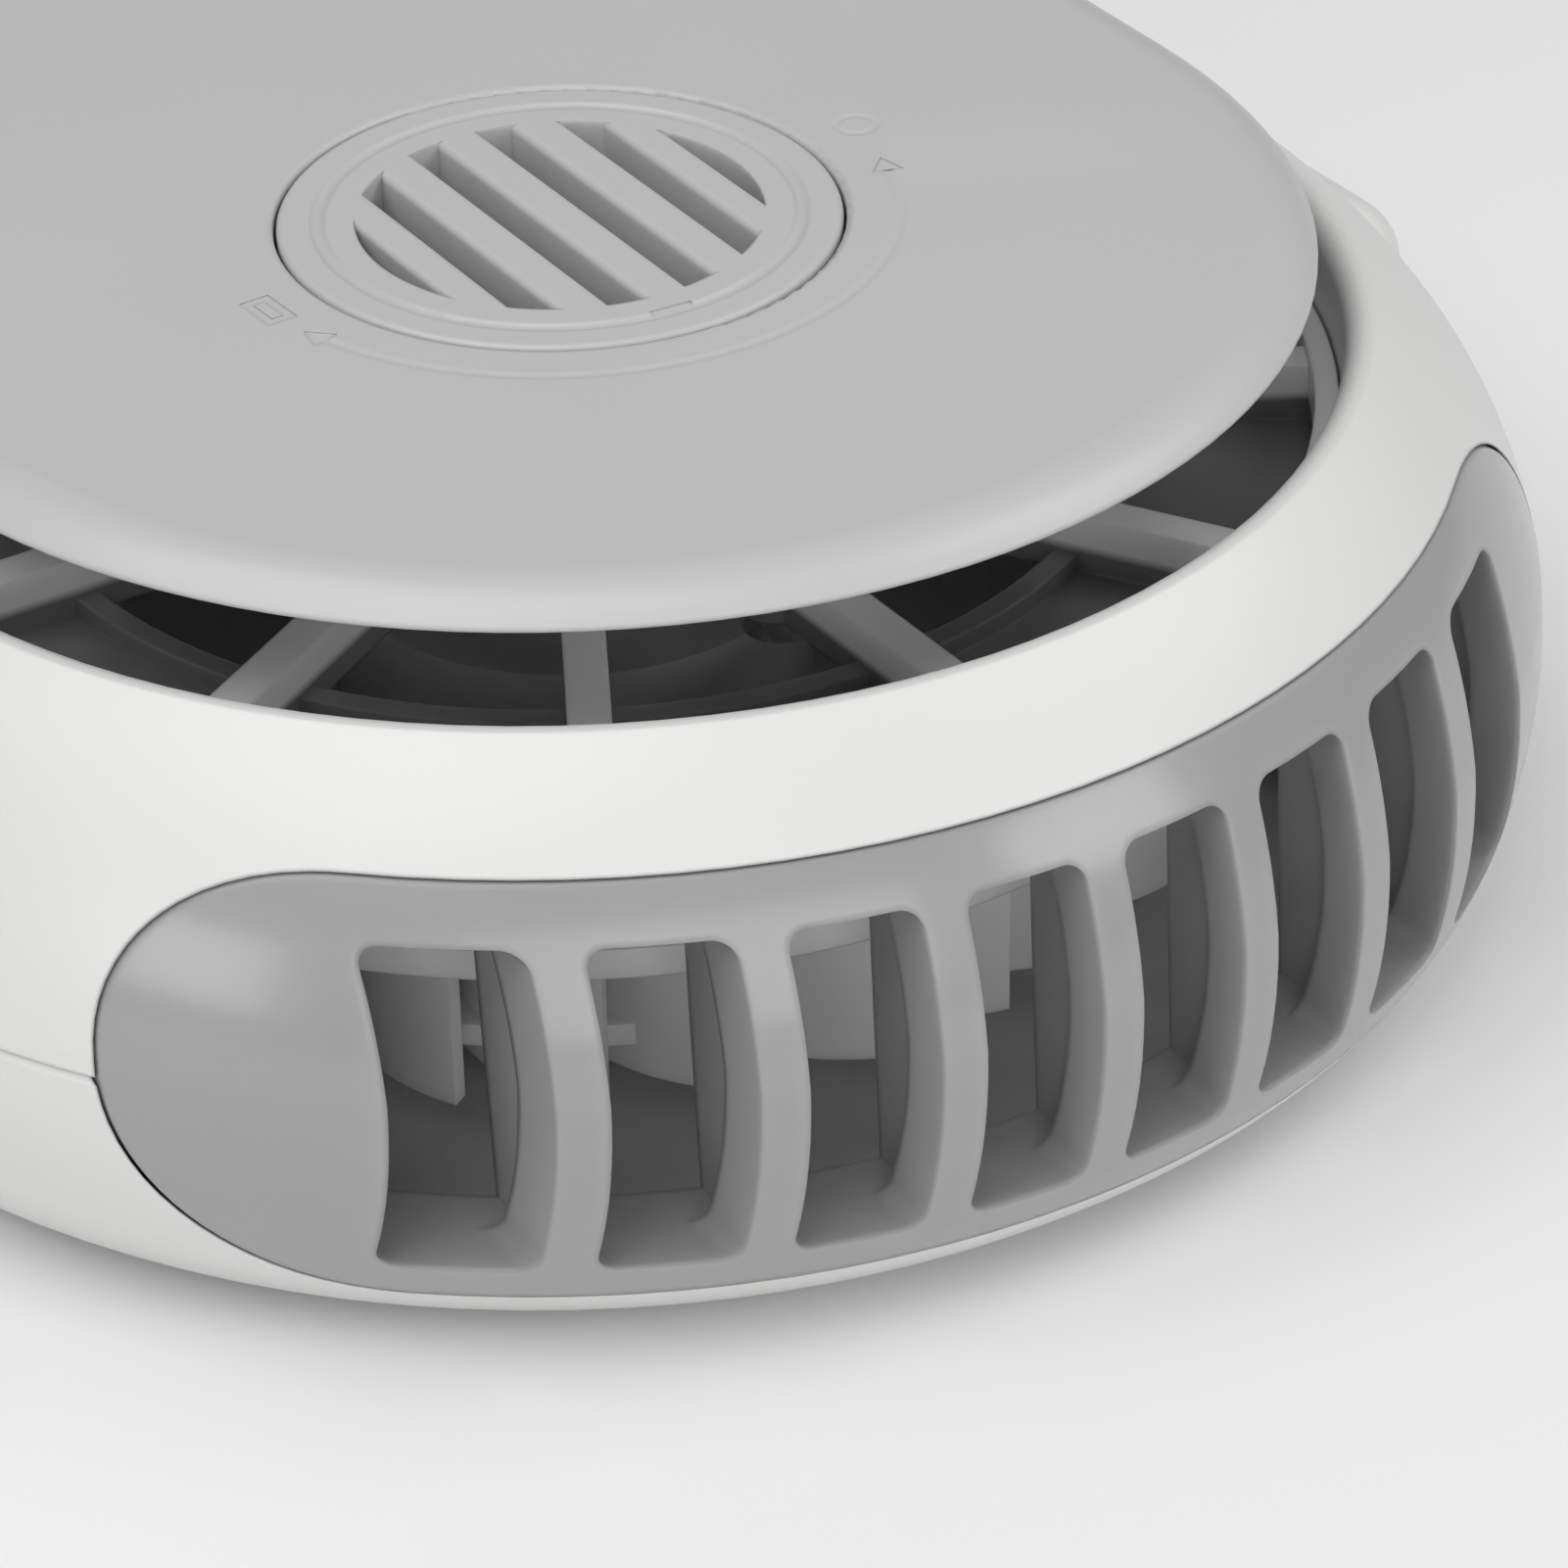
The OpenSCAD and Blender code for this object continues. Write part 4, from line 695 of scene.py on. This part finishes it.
class DressPower(bpy.types.Operator):
    """Battery cell, its tabs, foam and leads"""

    bl_idname = "neckfan.dress_power"
    bl_label = "Battery and leads"

    def execute(self, context):
        finish_node("battery_cell", "sleeve")
        finish_node("battery_tabs", "nickel")
        low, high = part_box("battery_pads")
        bm = bmesh.new()
        for side in (0, 1):
            near = low.x if side == 0 else high.x - PAD_LEN
            soft_block(bm, Vector((near, low.y, low.z)), Vector((near + PAD_LEN, high.y, high.z)),
                       0.03 * MM, 3, 0.02 * MM)
        foam = finish_mesh("battery_foam", bm)
        link_piece("battery_foam", foam, "foam", "housing", ["battery_pads"])

        low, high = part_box("battery_leads")
        radius = (high.y - low.y) / 2
        y, top = (low.y + high.y) / 2, high.z - radius
        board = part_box("circuit_board")[1].x
        runs = [eased([(side * (high.x - radius), y, low.z), (side * (high.x - radius), y, top),
                       (side * board, y, top)], 2.4 * MM) for side in (1, -1)]
        wire_piece("battery_wires", runs, radius, ["red", "black"], "housing",
                   ["battery_leads"])

        low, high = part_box("motor_leads")
        radius = high.x - MOTOR_LEAD_PITCH
        route = ((low.y, low.z + radius), (MOTOR_LEAD_TURN, low.z + radius),
                 (MOTOR_LEAD_TURN, high.z - radius), (high.y, high.z - radius))
        runs = [eased([(k * MOTOR_LEAD_PITCH, y, z) for y, z in route], 2 * MM) for k in (-1, 0, 1)]
        wire_piece("motor_wires", runs, radius, ["red", "black", "white"], "housing",
                   ["motor_leads"])
        return {"FINISHED"}


class DressElectronics(bpy.types.Operator):
    """Circuit board and what is soldered to it"""

    bl_idname = "neckfan.dress_electronics"
    bl_label = "Electronics"

    def execute(self, context):
        for name, finish in (("circuit_board", "board"), ("board_chips", "chip"),
                             ("indicator_leds", "lamp"), ("light_guide", "guide"),
                             ("tact_switch", "chip"), ("switch_plunger", "black"),
                             ("usb_socket", "nickel")):
            finish_node(name, finish)

        bodies, ends = bmesh.new(), bmesh.new()
        for x, y, turned in SMALL_PARTS:
            along, wide = Vector((1, 0, 0)), Vector((0, 1, 0))
            if turned:
                along, wide = wide, along
            spot = Vector((x * MM, y * MM, BOARD_TOP))
            half = (along * (PART_LEN / 2 - PART_END) + wide * PART_W / 2)
            rounded_block(bodies, spot - half, spot + half + Vector((0, 0, PART_H)), 0.03 * MM)
            for side in (-1, 1):
                tip = spot + side * (PART_LEN - PART_END) / 2 * along
                half = along * PART_END / 2 + wide * PART_W / 2
                rounded_block(ends, tip - half, tip + half + Vector((0, 0, PART_END_H)), 0.04 * MM)
        low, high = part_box("board_chips")
        for side in (-1, 1):
            centre = side * (high.x - CHIP_W / 2)
            for row, out in ((low.y, -1), (high.y, 1)):
                for k in range(CHIP_LEGS):
                    x = centre + (k - (CHIP_LEGS - 1) / 2) * LEG_PITCH
                    path = [(x, row + out * a * MM, BOARD_TOP + b * MM) for a, b in LEG]
                    strip(ends, path, (LEG_W, 0, 0), LEG_T)
        link_piece("board_small_parts", finish_mesh("board_small_parts", bodies), "chip", "housing")
        link_piece("board_solder", finish_mesh("board_solder", ends), "nickel", "housing")
        return {"FINISHED"}


class DressFasteners(bpy.types.Operator):
    """Black screws of the shells and the board, plated ones of the cover"""

    bl_idname = "neckfan.dress_fasteners"
    bl_label = "Screws"

    def execute(self, context):
        for name in ("board_screws", "shell_screws"):
            finish_node(name, "screw")
        finish_node("cover_screws", "nickel")
        return {"FINISHED"}


class BuildStage(bpy.types.Operator):
    """Plain pale floor, soft studio light and the camera"""

    bl_idname = "neckfan.build_stage"
    bl_label = "Stage"

    def execute(self, context):
        scene = context.scene
        studio = scene.fan_studio
        scene.view_settings.view_transform = "Standard"

        mat, tree, shader, place = new_material("floor_paper")
        base = tuple(studio.floor)
        tone = tint(tree, noise(tree, place, 0.3, 2), shade(base, 0.985), shade(base, 1.015))
        tree.links.new(tone, shader.inputs["Base Color"])
        shader.inputs["Roughness"].default_value = 0.85
        bm = bmesh.new()
        bmesh.ops.create_grid(bm, x_segments=2, y_segments=2, size=3)
        mesh = bpy.data.meshes.new("floor")
        bm.to_mesh(mesh)
        bm.free()
        floor = bpy.data.objects.new("floor", mesh)
        floor.location = (0, 0, -0.00002)
        mesh.materials.append(mat)
        scene.collection.objects.link(floor)

        for name, place, aim, size, setting in LAMPS:
            lamp = bpy.data.lights.new(name, "AREA")
            lamp.shape = "RECTANGLE"
            lamp.size, lamp.size_y = size
            lamp.energy = getattr(studio, setting)
            obj = bpy.data.objects.new(name, lamp)
            obj.location = place
            obj.rotation_euler = (Vector(aim) - Vector(place)).to_track_quat("-Z", "Y").to_euler()
            scene.collection.objects.link(obj)

        world = bpy.data.worlds.new("studio_air")
        scene.world = world
        world.use_nodes = True
        nodes = world.node_tree.nodes
        nodes["Background"].inputs["Color"].default_value = (1, 1, 1, 1)
        nodes["Background"].inputs["Strength"].default_value = studio.air

        lens = bpy.data.cameras.new("camera")
        lens.lens = studio.lens
        lens.sensor_width = 36
        lens.sensor_fit = "HORIZONTAL"
        lens.clip_start = 0.01
        camera = bpy.data.objects.new("camera", lens)
        right = Vector(CAMERA_RIGHT).normalized()
        ahead = Vector(CAMERA_AHEAD).normalized()
        up = right.cross(ahead).normalized()
        right = ahead.cross(up).normalized()
        turn = Matrix((right, up, -ahead)).transposed().to_4x4()
        camera.matrix_world = Matrix.Translation(Vector(studio.eye)) @ turn
        scene.collection.objects.link(camera)
        scene.camera = camera
        return {"FINISHED"}


class FanPanel(bpy.types.Panel):
    """Buttons and settings of the neck fan"""

    bl_idname = "VIEW3D_PT_neckfan"
    bl_label = "Neck Fan"
    bl_space_type = "VIEW_3D"
    bl_region_type = "UI"
    bl_category = "Neck Fan"

    def draw(self, context):
        layout = self.layout
        for step in STEPS:
            layout.operator(step.bl_idname)
        for group in (context.scene.fan_colours, context.scene.fan_sizes, context.scene.fan_studio):
            box = layout.box()
            for key in group.bl_rna.properties.keys():
                if key not in ("rna_type", "name"):
                    box.prop(group, key)


GROUPS = (FanColours, FanSizes, FanStudio)
STEPS = (BuildStage, DressShells, DressCover, DressOutlet, DressIntake, DressBlower, DressMotor,
         DressPower, DressElectronics, DressFasteners)


def register():
    for cls in (*GROUPS, *STEPS, FanPanel):
        bpy.utils.register_class(cls)
    bpy.types.Scene.fan_colours = bpy.props.PointerProperty(type=FanColours)
    bpy.types.Scene.fan_sizes = bpy.props.PointerProperty(type=FanSizes)
    bpy.types.Scene.fan_studio = bpy.props.PointerProperty(type=FanStudio)


def unregister():
    del bpy.types.Scene.fan_studio
    del bpy.types.Scene.fan_sizes
    del bpy.types.Scene.fan_colours
    for cls in reversed((*GROUPS, *STEPS, FanPanel)):
        bpy.utils.unregister_class(cls)


def main():
    register()
    for step in STEPS:
        area, action = step.bl_idname.split(".")
        getattr(getattr(bpy.ops, area), action)()


if __name__ == "__main__":
    main()
